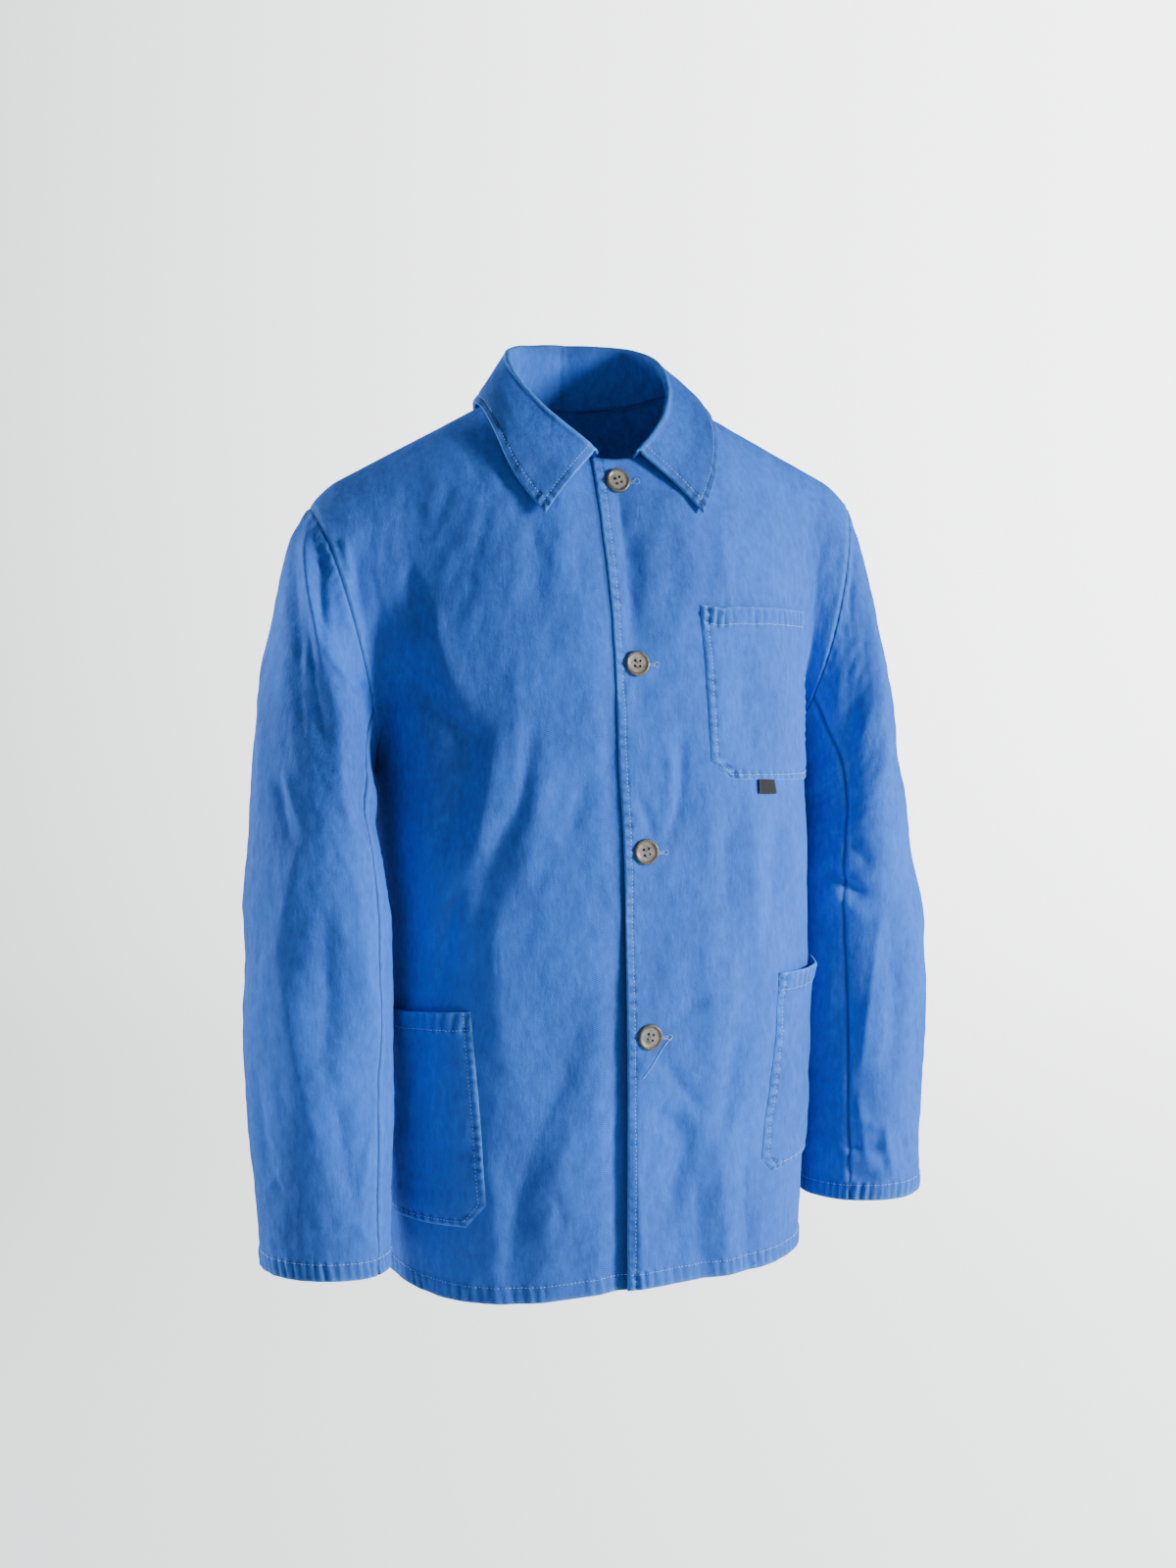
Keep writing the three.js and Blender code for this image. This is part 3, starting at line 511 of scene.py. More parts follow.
# Buttons
BUTTON_HEIGHTS = (-78, -231, -386, -538)
BUTTON_TURNS = (17, -6, 9, -14)
BUTTON_RADIUS = 10.8
BUTTON_DISC = 2.7
# Steps in from a button's edge, and up or down: its rim, the rim's top, the dish and its floor
BUTTON_INSETS = ((0.9, 0.8), (1.2, 0), (1.4, -1.0), (2.0, -0.15))
BUTTON_BEVEL = 0.45
BUTTON_HOLE_RADIUS = 1.25
BUTTON_HOLE_OFFSET = 2.3
RIM_FROM = 7.4
RIM_EASE = 1.2
THREAD_RUN = {"length": 3.3, "radius": 0.2, "apart": 0.35, "off": 2.75}
BUTTONHOLE = (-4.0, 15.0)
BUTTONHOLE_THREAD = 0.24
# Half height and the threads' pitch and length, along a buttonhole and at its end
BUTTONHOLE_SIDE = (0.8, 0.8, 1.3)
BUTTONHOLE_END = (1.6, 0.7, 1.2)
# The loose loop and the long loose thread, from a buttonhole's outer end
LOOSE_LOOP = ((0, 0), (2.4, 2.2), (4.6, 0.6), (3.0, -2.0), (0.4, -0.8))
LOOSE_END = ((4, -0.4), (-1, -5), (-7, -13), (-14, -22), (-22, -32))

# Colours
DEEP_BLUE = (0.020, 0.068, 0.33, 1)
MID_BLUE = (0.024, 0.160, 0.74, 1)
PALE_BLUE = (0.10, 0.34, 0.90, 1)
# Dark blue for the seam lines and for painted shade, in hollows, beside the lapped edge and on the collar
SEAM_AND_SHADE_BLUE = (0.008, 0.026, 0.11, 1)
TAPE_BLACK = (0.012, 0.012, 0.014, 1)
TAPE_WORN = (0.10, 0.10, 0.11, 1)
TWILL_RIBS = 380.0
TWILL_DEPTH = 0.00035
CRUMPLE_DEPTH = 0.0025
FLECK = 0.16
SEAM_AND_SHADE_DARKNESS = 0.74
ROOM_LIGHT = {"Color": (1.0, 0.95, 0.89, 1), "Strength": 0.13}
# Lights: place, size, power and colour
LIGHTS = {
    "key": ((2.4, -1.85, 0.15), 0.8, 186, (0.96, 0.99, 1.0)),
    "side": ((-2.15, 1.3, 0.45), 0.9, 85, (0.96, 0.98, 1.0)),
}
LIT_PLACE = (0, 0, -0.35)

# Camera at the photograph's angle, lights and stage, in metres
CAMERA_TURN = math.radians(21)
CAMERA_DISTANCE = 2.4
CAMERA_HEIGHT = -0.097
CAMERA_LENS = 63
CAMERA_SHIFT = -0.178
FLOOR_Z = -1.25
ROOM_RADIUS = 5.5
ROOM_HEIGHT = 5.0
ROOM_COVE = 1.6
ROOM_SIDES = 96
COVE_STEPS = 12
GLOW = 0.85
GLOW_RISE = 4.5


def mix(start, end, share):
    return start + (end - start) * share


def smooth(value):
    value = np.clip(value, 0, 1)
    return value * value * (3 - 2 * value)


def bump_at(value, middle, width):
    return np.exp(-(((value - middle) / width) ** 2))


def row_at(rows, key, value):
    """A table's columns at any value of its key column, on a smooth curve through its rows."""
    keys = rows[key]
    value = np.asarray(value, float)
    index = np.clip(np.searchsorted(keys, value) - 1, 0, len(keys) - 2)
    before = np.maximum(index - 1, 0)
    after = np.minimum(index + 2, len(keys) - 1)
    span = keys[index + 1] - keys[index]
    share = np.clip((value - keys[index]) / span, 0, 1)
    found = {}
    for name, column in rows.items():
        slope_from = (column[index + 1] - column[before]) / (keys[index + 1] - keys[before]) * span
        slope_to = (column[after] - column[index]) / (keys[after] - keys[index]) * span
        found[name] = (
            column[index] * (1 + 2 * share) * (1 - share) ** 2
            + slope_from * share * (1 - share) ** 2
            + column[index + 1] * share**2 * (3 - 2 * share)
            + slope_to * share**2 * (share - 1)
        )
    return SimpleNamespace(**found)


def xyz(x, y, z):
    return np.stack(np.broadcast_arrays(x, y, z), axis=-1).astype(float)


def unit(vectors):
    return vectors / np.maximum(np.linalg.norm(vectors, axis=-1, keepdims=True), 1e-9)


def reach(points):
    """Distance along each line of points from its first one."""
    steps = np.linalg.norm(np.diff(points, axis=0), axis=-1)
    return np.concatenate([np.zeros_like(steps[:1]), np.cumsum(steps, axis=0)])


def waves(seed, first, second, length, count, stretch=1.0):
    """Even unevenness from -1 to 1, with hollows and rises about a length across."""
    rng = np.random.default_rng(seed)
    total = np.zeros(np.broadcast(first, second).shape)
    for _ in range(count):
        turn = rng.uniform(0, 2 * math.pi)
        wave = rng.uniform(0.7, 1.6) * length
        phase = rng.uniform(0, 2 * math.pi)
        along = first * math.cos(turn) + second * math.sin(turn) / stretch
        total += np.sin(2 * math.pi * along / wave + phase)
    return total / math.sqrt(count)


# The body


def ring_point(ring, side, angle):
    power = 2 / BODY_SQUARENESS
    half = np.where(side < 0, ring.right, ring.left)
    cosine = np.cos(angle)
    depth = np.where(cosine > 0, -ring.front, ring.back)
    x = side * half * np.abs(np.sin(angle)) ** power
    y = depth * np.abs(cosine) ** power
    return xyz(x, y, -ring.down)


EVEN_ANGLES = np.linspace(0, math.pi, 361)
even_ring = SimpleNamespace(**{name: column[EVEN_RING] for name, column in BODY_RINGS.items()})
EVEN_LENGTHS = reach(ring_point(even_ring, 1, EVEN_ANGLES))
HALF_ROUND = EVEN_LENGTHS[-1]
FRONT_HALF = SIDE_SEAM_SHARE * HALF_ROUND
BACK_HALF = HALF_ROUND - FRONT_HALF


def body_point(share, side, z):
    angle = np.interp(share * HALF_ROUND, EVEN_LENGTHS, EVEN_ANGLES)
    return ring_point(row_at(BODY_RINGS, "down", -z), side, angle)


def shoulder_point(side, share):
    x = mix(NECK_HALF, SHOULDER_TIP["x"], share)
    straight_z = -SHOULDER_SLOPE * (x - NECK_HALF)
    tip_drop = SHOULDER_TIP["z"] + SHOULDER_SLOPE * (SHOULDER_TIP["x"] - NECK_HALF)
    rounding = np.clip((x - SHOULDER_TIP["x"] + SHOULDER_ROUND) / SHOULDER_ROUND, 0, 1) ** 2
    return xyz(side * x, 0, straight_z + tip_drop * rounding)


def top_point(neck, neck_share, side, share):
    turn = math.pi / 2 * np.clip(share / neck_share, 0, 1) ** NECK_CROWDING
    x = side * NECK_HALF * np.sin(turn)
    neckline = xyz(x, neck["y"] * np.cos(turn), neck["z"] * np.abs(np.cos(turn)) ** NECK_FLATNESS)
    shoulder = shoulder_point(side, np.clip((share - neck_share) / (1 - neck_share), 0, 1))
    return np.where((share >= neck_share)[..., None], shoulder, neckline)


def ring_share(is_front, share):
    return share * SIDE_SEAM_SHARE if is_front else 1 - share * (1 - SIDE_SEAM_SHARE)


def upper_point(is_front, side, share, fall):
    """The cloth between the top line (fall 0) and the underarm level (fall 1)."""
    neck = NECK_FRONT if is_front else NECK_BACK
    neck_share = FRONT_NECK_SHARE if is_front else BACK_NECK_SHARE
    shape = row_at(FRONT_FALL if is_front else BACK_FALL, "share", share)
    top = top_point(neck, neck_share, side, share)
    bottom = body_point(ring_share(is_front, share), side, np.full(np.shape(share), UNDERARM_Z))
    lean = top + xyz(side * shape.lean_x, shape.lean_y, shape.lean_z)
    rise = bottom + xyz(side * shape.rise_x, shape.rise_y, shape.rise_z)
    if is_front:
        near = smooth((share - 0.5) * 2) * (side > 0)
        lean[..., 0] -= LEFT_ARMHOLE_IN["top"] * near
        rise[..., 0] -= LEFT_ARMHOLE_IN["bottom"] * near
    part = np.asarray(fall, float)[..., None]
    rest = 1 - part
    return top * rest**3 + 3 * lean * part * rest**2 + 3 * rise * part**2 * rest + bottom * part**3


def hem_height(is_front, signed_share):
    if is_front:
        return row_at(HEM_LINE, "share", signed_share).z
    side = np.sign(signed_share)
    turned = side * (1 - (1 - np.abs(signed_share)) ** BACK_HEM_BEND)
    return mix(HEM_LINE["z"][0], HEM_LINE["z"][-1], (turned + 1) / 2)


# Rows and columns of the cloth


ARMHOLE_ROWS = 80
SLEEVE_COLUMNS = 2 * ARMHOLE_ROWS
SLEEVE_SEAM_COLUMN = round(SLEEVE_COLUMNS * SLEEVE_SEAM_SHARE)
COARSE = 3.2
SAME_PLACE = 0.02
TURNED_BACK = 0.5
NECK_EASE = 36
NECK_EASE_STEPS = 9
# Distances of the first rows from a sewn edge, from a seam and from an edge that is neither
EDGE_STEPS = np.array([
    0, 0.8, 1.8, 3.0, 4.2, 5.4, 6.5, 7.6, 8.8, 10, 11.2, 12.2, 13.1, 14.1, 15.2, 16.6, 18.4,
])
SEAM_STEPS = np.array([0, 1.2, 2.6, 4.2, 6.2])
NO_STEPS = np.array([0.0])
HALVINGS = 24


def graded(length, first_steps, last_steps):
    """Distances from 0 to a length, close together at either end and a coarse step apart between."""
    start, end = first_steps[-1], length - last_steps[-1]
    between = np.linspace(start, end, max(2, round((end - start) / COARSE) + 1))
    return np.concatenate([first_steps[:-1], between, (length - last_steps[:-1])[::-1]])


def shoulder_shares():
    width = FRONT_HALF * (1 - FRONT_NECK_SHARE)
    return graded(width, NO_STEPS, SEAM_STEPS) / width


def front_shares():
    neck_end = FRONT_NECK_SHARE * FRONT_HALF
    lap_and_neck = graded(LAP + neck_end, EDGE_STEPS, NO_STEPS) - LAP
    shoulder = mix(neck_end, FRONT_HALF, shoulder_shares()[1:])
    return np.concatenate([lap_and_neck, shoulder]) / FRONT_HALF


def back_shares():
    neck_columns = round(BACK_NECK_SHARE * BACK_HALF / COARSE)
    half = np.concatenate([
        np.linspace(0, BACK_NECK_SHARE, neck_columns + 1)[:-1],
        mix(BACK_NECK_SHARE, 1, shoulder_shares()),
    ])
    return np.concatenate([-half[:0:-1], half])[::-1]


UPPER_FALLS = np.linspace(0, 1, ARMHOLE_ROWS + 1)
LOWER_LENGTH = -HEM_LINE["z"].mean() + UNDERARM_Z
LOWER_SHARES = graded(LOWER_LENGTH, NO_STEPS, EDGE_STEPS)[1:] / LOWER_LENGTH


def cloth_piece(name, points):
    return SimpleNamespace(name=name, points=points)


def torso_piece(name, is_front, shares):
    side = np.where(shares < 0, -1.0, 1.0)
    share = np.abs(shares)
    upper = upper_point(is_front, side, share, UPPER_FALLS[:, None])
    hem_z = hem_height(is_front, shares)
    z = mix(UNDERARM_Z, hem_z, LOWER_SHARES[:, None])
    lower = body_point(ring_share(is_front, share)[None, :], side, z)
    piece = cloth_piece(name, np.concatenate([upper, lower]))
    piece.is_front = is_front
    piece.shares = shares
    piece.half = FRONT_HALF if is_front else BACK_HALF
    piece.from_top = reach(piece.points)
    piece.points = without_neck_ridge(piece)
    return piece


def without_neck_ridge(piece):
    """The cloth with the ridge eased out that falls from where the neckline meets the shoulder seam."""
    across = piece.shares * piece.half
    order = np.argsort(across)
    corner = (FRONT_NECK_SHARE if piece.is_front else BACK_NECK_SHARE) * piece.half
    shifts = np.linspace(-1, 1, NECK_EASE_STEPS)
    weights = 1 - np.abs(shifts) + 1 / NECK_EASE_STEPS
    eased = np.zeros_like(piece.points)
    for shift, weight in zip(shifts, weights):
        beside = across + shift * NECK_EASE
        for row, line in enumerate(piece.points):
            for axis in range(3):
                eased[row, :, axis] += weight * np.interp(beside, across[order], line[order, axis])
    near = bump_at(np.abs(across), corner, NECK_EASE) * smooth(piece.from_top / NECK_EASE)
    return mix(piece.points, eased / weights.sum(), near[..., None])


def armhole_point(side, column):
    around = np.mod(column, SLEEVE_COLUMNS)
    one = np.ones(np.shape(around))
    front = upper_point(True, side * one, one, np.clip(around / ARMHOLE_ROWS, 0, 1))
    back = upper_point(False, side * one, one, np.clip((SLEEVE_COLUMNS - around) / ARMHOLE_ROWS, 0, 1))
    return np.where((around <= ARMHOLE_ROWS)[..., None], front, back)


def sleeve_ring_point(ring, side, column):
    turn = 2 * math.pi * column / SLEEVE_COLUMNS
    outward = (1 + np.cos(turn)) / 2
    x = mix(ring.in_x, ring.out_x, outward)
    z = mix(ring.in_z, ring.out_z, outward)
    return xyz(side * x, ring.mid_y - ring.half_y * np.sin(turn), z)


def sleeve_point(rings, side, down, column):
    first = row_at(rings, "down", np.zeros(np.shape(column)))
    head = armhole_point(side, column) - sleeve_ring_point(first, side, column)
    fading = (1 - smooth(down / SLEEVE_HEAD))[..., None]
    return sleeve_ring_point(row_at(rings, "down", down), side, column) + head * fading


def sleeve_piece(name, rings, side, first_column, last_column):
    downs = graded(rings["down"][-1], SEAM_STEPS, EDGE_STEPS)
    columns = np.arange(first_column, last_column + 1)
    if side > 0:
        columns = columns[::-1]
    piece = cloth_piece(name, sleeve_point(rings, side, *np.broadcast_arrays(downs[:, None], columns)))
    piece.downs = downs
    piece.columns = columns
    piece.length = downs[-1]
    return piece


# Normals, where pieces that share a seam share its normals too


def grid_normals(points):
    """Normals at a grid's points, not yet of unit length."""
    diagonal = points[1:, 1:] - points[:-1, :-1]
    other = points[:-1, 1:] - points[1:, :-1]
    faces = np.cross(diagonal, other)
    normals = np.zeros_like(points)
    normals[:-1, :-1] += faces
    normals[:-1, 1:] += faces
    normals[1:, :-1] += faces
    normals[1:, 1:] += faces
    return normals


def share_normals(pieces):
    """Gives points at one place one normal, but for those on cloth that is turned the other way."""
    own = [grid_normals(piece.points).reshape(-1, 3) for piece in pieces]
    places = np.round(np.concatenate([piece.points.reshape(-1, 3) for piece in pieces]) / SAME_PLACE)
    _, index = np.unique(places, axis=0, return_inverse=True)
    index = index.ravel()
    summed = np.zeros((index.max() + 1, 3))
    np.add.at(summed, index, np.concatenate(own))
    shared = unit(summed[index])
    start = 0
    for piece, normals in zip(pieces, own):
        mine = unit(normals)
        ours = shared[start:start + len(mine)]
        start += len(mine)
        turned = (mine * ours).sum(axis=1, keepdims=True) < TURNED_BACK
        piece.normals = np.where(turned, mine, ours).reshape(piece.points.shape)


# Folds, puckers and stitch lines as heights over the cloth


def fold_height(folds, across, along, across_scale=1.0, turn=None):
    """Height of all folds at places on the cloth; a turn is how much of across comes back to its start."""
    total = np.zeros(np.broadcast(across, along).shape)
    for from_a, from_z, to_a, to_z, width, depth, bow in zip(*folds.values()):
        start = np.array([from_a * across_scale, from_z])
        line = np.array([to_a * across_scale, to_z]) - start
        length = math.hypot(*line)
        near = across
        if turn:
            middle = (from_a + to_a) / 2
            near = np.mod(across - middle + turn / 2, turn) + middle - turn / 2
        off_a, off_z = near * across_scale - start[0], along - start[1]
        share = (off_a * line[0] + off_z * line[1]) / length**2
        aside = (off_a * line[1] - off_z * line[0]) / length
        aside = aside - 4 * bow * share * (1 - share)
        ends = smooth(share * 3) * smooth((1 - share) * 3)
        total += depth * ends * np.exp(-(np.abs(aside / width) ** FOLD_CRISPNESS))
    return total


def softness(kind, seed, broad_place, fine_place):
    """The broad and the fine unevenness of one kind of piece."""
    total = 0
    for step, place in enumerate((broad_place, fine_place)):
        height, *shape = SOFT[kind][step]
        total = total + height * waves(seed + step, *place, *shape)
    return total


def uneven_along(seed, along, size, length, count):
    return size * waves(seed, along, 0 * along, length, count)


def pucker(seed, from_edge, along_edge, band):
    """Uneven ripples between a stitched edge and its stitch line, from -1 to 1."""
    wander = uneven_along(seed, along_edge, *PUCKER_WANDER)
    strength = PUCKER_STRENGTH + uneven_along(seed + 1, along_edge, *PUCKER_SWELL)
    ripple = np.sin(2 * math.pi * (along_edge + PUCKER_LEAN * from_edge) / PUCKER_PITCH + wander)
    window = smooth(from_edge / 2) * (1 - smooth((from_edge - band) / 4))
    return strength * ripple * window


def stitched(kind, seed, from_edge, along_edge):
    """A stitched edge's height, how far its crests have faded, and the painted shade in its hollows."""
    edge = SEWN[kind]
    ripple = pucker(seed, from_edge, along_edge, edge.stitch)
    groove = edge.groove * bump_at(from_edge, edge.stitch, GROOVE_WIDTH)
    layers = edge.layers * (1 - smooth((from_edge - edge.stitch) / LAYER_EASE))
    height = edge.ripple * ripple - groove + layers
    return height, edge.faded * np.clip(ripple, 0, 1), np.clip(-TROUGH_SHADE * ripple, 0, 1)


def pressed_seam(from_seam, depth=0.8):
    return -depth * bump_at(from_seam, 0, SEAM_WIDTH)


def seamed(kind, seed, from_seam, along_seam):
    """A seam's height with the ridge and the ripples beside it, and how far they have faded."""
    seam = SEAMS[kind]
    ripple = pucker(seed, from_seam, along_seam, seam.band)
    height = seam.ridge * bump_at(from_seam, seam.ridge_at, RIDGE_WIDTH) + seam.ripple * ripple
    faded = seam.faded * bump_at(from_seam, seam.faded_at, seam.faded_width)
    return height + pressed_seam(from_seam, seam.groove), faded + seam.crests * np.clip(ripple, 0, 1)


def darkest(*parts):
    return np.max(np.broadcast_arrays(*parts), axis=0)


def worn_edge(from_edge, most=0.85, fade=1.5):
    return most * np.exp(-from_edge / fade)


def turned_up(kind, from_edge):
    """How much thicker the cloth is where it is turned up inside."""
    return TURN_UP * (1 - smooth((from_edge - SEWN[kind].stitch) / 2))


def rounded_edge(from_edge):
    return -EDGE_ROUND * np.clip(1 - from_edge / EDGE_ROUND, 0, 1) ** 2


# Fronts, back and sleeves


def held_by_buttons(across, z):
    """1 where a button holds both fronts together and flat, 0 well away from it."""
    near = np.min([np.hypot(across, z - height) for height in BUTTON_HEIGHTS], axis=0)
    return 1 - smooth((near - BUTTON_HOLD[0]) / (BUTTON_HOLD[1] - BUTTON_HOLD[0]))


left_shares = front_shares()
back = torso_piece("back", False, back_shares())
front_left = torso_piece("front_left", True, left_shares)
front_right = torso_piece("front_right", True, -left_shares[::-1])
seam_column, under_end = SLEEVE_SEAM_COLUMN, SLEEVE_COLUMNS - SLEEVE_SEAM_COLUMN
sleeve_top_right = sleeve_piece("sleeve_top_right", SLEEVE_RIGHT_RINGS, -1, -seam_column, seam_column)
sleeve_under_right = sleeve_piece("sleeve_under_right", SLEEVE_RIGHT_RINGS, -1, seam_column, under_end)
sleeve_top_left = sleeve_piece("sleeve_top_left", SLEEVE_LEFT_RINGS, 1, -seam_column, seam_column)
sleeve_under_left = sleeve_piece("sleeve_under_left", SLEEVE_LEFT_RINGS, 1, seam_column, under_end)
torso = [back, front_left, front_right]
sleeves = [sleeve_top_right, sleeve_under_right, sleeve_top_left, sleeve_under_left]
share_normals(torso + sleeves)


def raise_grid(piece, height, thickness):
    """Moves a piece out to its final outside, and lays its inside under it."""
    piece.outer = piece.points + piece.normals * height[..., None]
    piece.final_normals = unit(grid_normals(piece.outer))
    piece.inner = piece.outer - piece.normals * thickness[..., None]


def raise_joined_grid(piece, height, inner_extra):
    """The same for a piece whose border keeps the normals it shares along its seams."""
    thickness = np.broadcast_to(CLOTH + inner_extra, height.shape)
    raise_grid(piece, height, thickness)
    for border in (np.s_[0], np.s_[-1], np.s_[:, 0], np.s_[:, -1]):
        piece.final_normals[border] = piece.normals[border]
    piece.inner = piece.outer - piece.final_normals * thickness[..., None]


def mark(piece, wear, seam, first, second):
    """Keeps how far the dye has faded, how dark the seam lines and the painted shade are, and the weave's own
    places across and down.
    """
    piece.wear = np.clip(wear, 0, 1)
    piece.seam = np.clip(seam, 0, 1)
    piece.uv = np.stack(np.broadcast_arrays(first, second), axis=-1) * MM


def dress_front_edge(piece, seed, across, z, from_hem, height):
    """A front's height with its lap and its buttons, the fading at its edge, and painted shade, in the
    placket's hollows on the left front and as the lapped edge's shadow on the right front.
    """
    is_left = piece.name == "front_left"
    from_edge = (across if is_left else -across) + LAP
    past_lap = from_edge - 2 * LAP
    low_down = smooth((EDGE_LIFT_TOP - z) / EDGE_LIFT_EASE)
    free = 1 - held_by_buttons(across, z)
    lap = LAP_LIFT * (1 - smooth(past_lap / LAP_EASE))
    if not is_left:
        # Painted shadow of the lapped edge: full under the lap and fading out beside it, wider low down
        return height * free - lap, 0, 1 - smooth(past_lap / mix(*LAP_SHADE, low_down))
    placket, faded, painted_shade = stitched("placket", seed, from_edge, z)
    edge_lift = EDGE_LIFT * np.exp(-from_edge / EDGE_LIFT_REACH) * low_down
    edge = lap + placket + rounded_edge(from_edge) * (from_hem > 1)
    return (height + edge_lift) * free + edge, faded + worn_edge(from_edge, 0.75, 1.3), painted_shade


def dress_torso(piece):
    shares = piece.shares[None, :]
    across = shares * piece.half
    z = piece.points[..., 2]
    from_seam = (1 - np.abs(shares)) * piece.half
    from_hem = z - hem_height(piece.is_front, shares)
    from_top = piece.from_top
    seed = 23 if piece.is_front else 11
    folds = fold_height(FRONT_FOLDS if piece.is_front else BACK_FOLDS, across, z)
    folds = folds + softness("body", seed, (across, z), (across, z))
    # seam starts as painted shade in the hollows of the hem's ripples
    hem, wear, seam = stitched("hem", seed + 2, from_hem, across)
    height = folds * smooth(from_seam / FOLD_FREE_EDGE) * smooth(from_top / FOLD_FREE_TOP)
    height += hem + rounded_edge(from_hem)
    if piece.is_front:
        height, faded, painted_shade = dress_front_edge(piece, seed + 5, across, z, from_hem, height)
        wear = wear + faded
        seam = np.maximum(seam, painted_shade)
    side_seam, faded = seamed("body", seed + 8, from_seam, z)
    height += side_seam + pressed_seam(from_top)
    wear = wear + worn_edge(from_hem) + faded
    seam = darkest(seam, bump_at(from_seam, 0, SEAM_DYE_WIDTH), bump_at(from_top, 0, TOP_DYE_WIDTH))
    mark(piece, wear, seam, across, from_top)
    raise_joined_grid(piece, height, turned_up("hem", from_hem))


def dress_sleeve(piece, folds, seed):
    turn = np.mod(piece.columns * 360 / SLEEVE_COLUMNS + 360, 360)[None, :]
    down = piece.downs[:, None]
    round_mm = turn * SLEEVE_DEGREE
    from_cuff = piece.length - down
    seam_turns = np.array([SLEEVE_SEAM_SHARE * 360, 360 - SLEEVE_SEAM_SHARE * 360])
    from_seam = np.min(np.abs(turn[..., None] - seam_turns), axis=-1) * SLEEVE_DEGREE
    angle = np.radians(turn)
    ring_x, ring_y = SLEEVE_RADIUS * np.cos(angle), SLEEVE_RADIUS * np.sin(angle)
    folds = fold_height(folds, turn, down, SLEEVE_DEGREE, 360)
    folds = folds + softness("sleeve", seed, (ring_x + 0.6 * ring_y, down), (ring_x - ring_y, down))
    # seam starts as painted shade in the hollows of the cuff's ripples
    cuff, wear, seam = stitched("cuff", seed + 2, from_cuff, round_mm)
    height = folds * smooth(down / FOLD_FREE_TOP) + cuff + rounded_edge(from_cuff)
    arm_seam, faded = seamed("sleeve", seed + 4, from_seam, down)
    height += arm_seam + pressed_seam(down)
    height += ARMHOLE_RIPPLE["height"] * pucker(seed + 6, down, round_mm, ARMHOLE_RIPPLE["band"])
    wear = wear + worn_edge(from_cuff) + faded + 0.2 * bump_at(down, 3, 2)
    seam = darkest(seam, bump_at(from_seam, 0, SEAM_DYE_WIDTH), bump_at(down, 0, SEAM_DYE_WIDTH))
    mark(piece, wear, seam, round_mm, down)
    raise_joined_grid(piece, height, turned_up("cuff", from_cuff))


for piece in torso:
    dress_torso(piece)
for piece in sleeves:
    if "right" in piece.name:
        dress_sleeve(piece, SLEEVE_RIGHT_FOLDS, 51)
    else:
        dress_sleeve(piece, SLEEVE_LEFT_FOLDS, 71)


# Collar


def collar_piece():
    """One sheet from its tucked lower edge up the stand, over the roll and down the fall."""
    half = graded(1 / COLLAR_SHARE_A_MM, EDGE_STEPS, NO_STEPS) * COLLAR_SHARE_A_MM
    side = np.concatenate([np.ones(len(half)), -np.ones(len(half) - 1)])
    share = np.concatenate([half, half[-2::-1]])
    lines = [row_at(rows, "share", share) for rows in (COLLAR_SEAM, COLLAR_ROLL, COLLAR_EDGE)]
    seam, roll, edge = (xyz(side * line.x, line.y, line.z) for line in lines)
    up = np.array([0, 0, 1.0])
    out = unit((edge - roll) * (1 - up))
    inner_roll = roll - up * COLLAR_ROLL_RADIUS
    outer_roll = inner_roll + out * 2 * COLLAR_ROLL_RADIUS
    tucked = seam - unit(inner_roll - seam) * COLLAR_TUCK
    rows = [mix(tucked, inner_roll, part) for part in np.linspace(0, 1, STAND_ROWS + 1)[:-1]]
    for turn in np.linspace(0, math.pi, ROLL_ROWS + 1):
        rows.append(inner_roll + COLLAR_ROLL_RADIUS * (out * (1 - math.cos(turn)) + up * math.sin(turn)))
    first_fall_row = len(rows)
    fall_length = np.linalg.norm(edge - outer_roll, axis=1)
    typical = fall_length.mean()
    band = EDGE_STEPS[-1]
    for step in graded(typical, NO_STEPS, EDGE_STEPS)[1:]:
        from_edge = typical - step
        if from_edge <= band + 1e-6:
            part = 1 - from_edge / fall_length
        else:
            part = step / (typical - band) * (fall_length - band) / fall_length
        bulge = COLLAR_BULGE * np.sin(math.pi * part)
        rows.append(mix(outer_roll, edge, part[:, None]) + out * bulge[:, None])
    piece = cloth_piece("collar", np.array(rows))
    piece.share = share
    piece.side = side
    piece.first_fall_row = first_fall_row
    return piece


def dress_collar(piece):
    piece.normals = unit(grid_normals(piece.points))
    from_seam = reach(piece.points)
    from_outer = from_seam[-1] - from_seam
    from_end = np.broadcast_to(piece.share / COLLAR_SHARE_A_MM, from_seam.shape)
    from_edge = np.minimum(from_outer, from_end)
    along = np.where(from_outer < from_end, from_end, from_outer)
    on_fall = smooth((from_seam - COLLAR_FALL_FROM) / COLLAR_FALL_EASE)
    padding = smooth(from_seam / COLLAR_PADDING["from"])
    signed = from_end * piece.side
    folds = fold_height(COLLAR_FOLDS, signed, from_seam)
    folds = folds + softness("collar", 91, (signed, from_seam), (signed, from_seam))
    stitches, faded, painted_shade = stitched("collar", 93, from_edge, along)
    height = folds * smooth(from_seam / COLLAR_FREE_SEAM) * smooth(from_edge / COLLAR_FREE_EDGE)
    height += stitches * on_fall + rounded_edge(from_edge) + COLLAR_PADDING["out"] * padding
    roll_middle = from_seam[STAND_ROWS + ROLL_ROWS // 2]
    wear = worn_edge(from_edge) + faded * on_fall + COLLAR_ROLL_FADED * bump_at(from_seam, roll_middle, 3)
    # The collar's fall is darkened with painted shade, more in the hollows of its ripples, beside the dark
    # seam line
    seam = np.maximum(bump_at(from_seam, 0, 1.5), (COLLAR_SHADE + COLLAR_TROUGHS * painted_shade) * on_fall)
    mark(piece, wear, seam, signed, from_seam)
    piece.from_seam = from_seam
    raise_joined_grid(piece, height, COLLAR_PADDING["in"] * padding)


collar = collar_piece()
dress_collar(collar)


# Finding places on the cloth


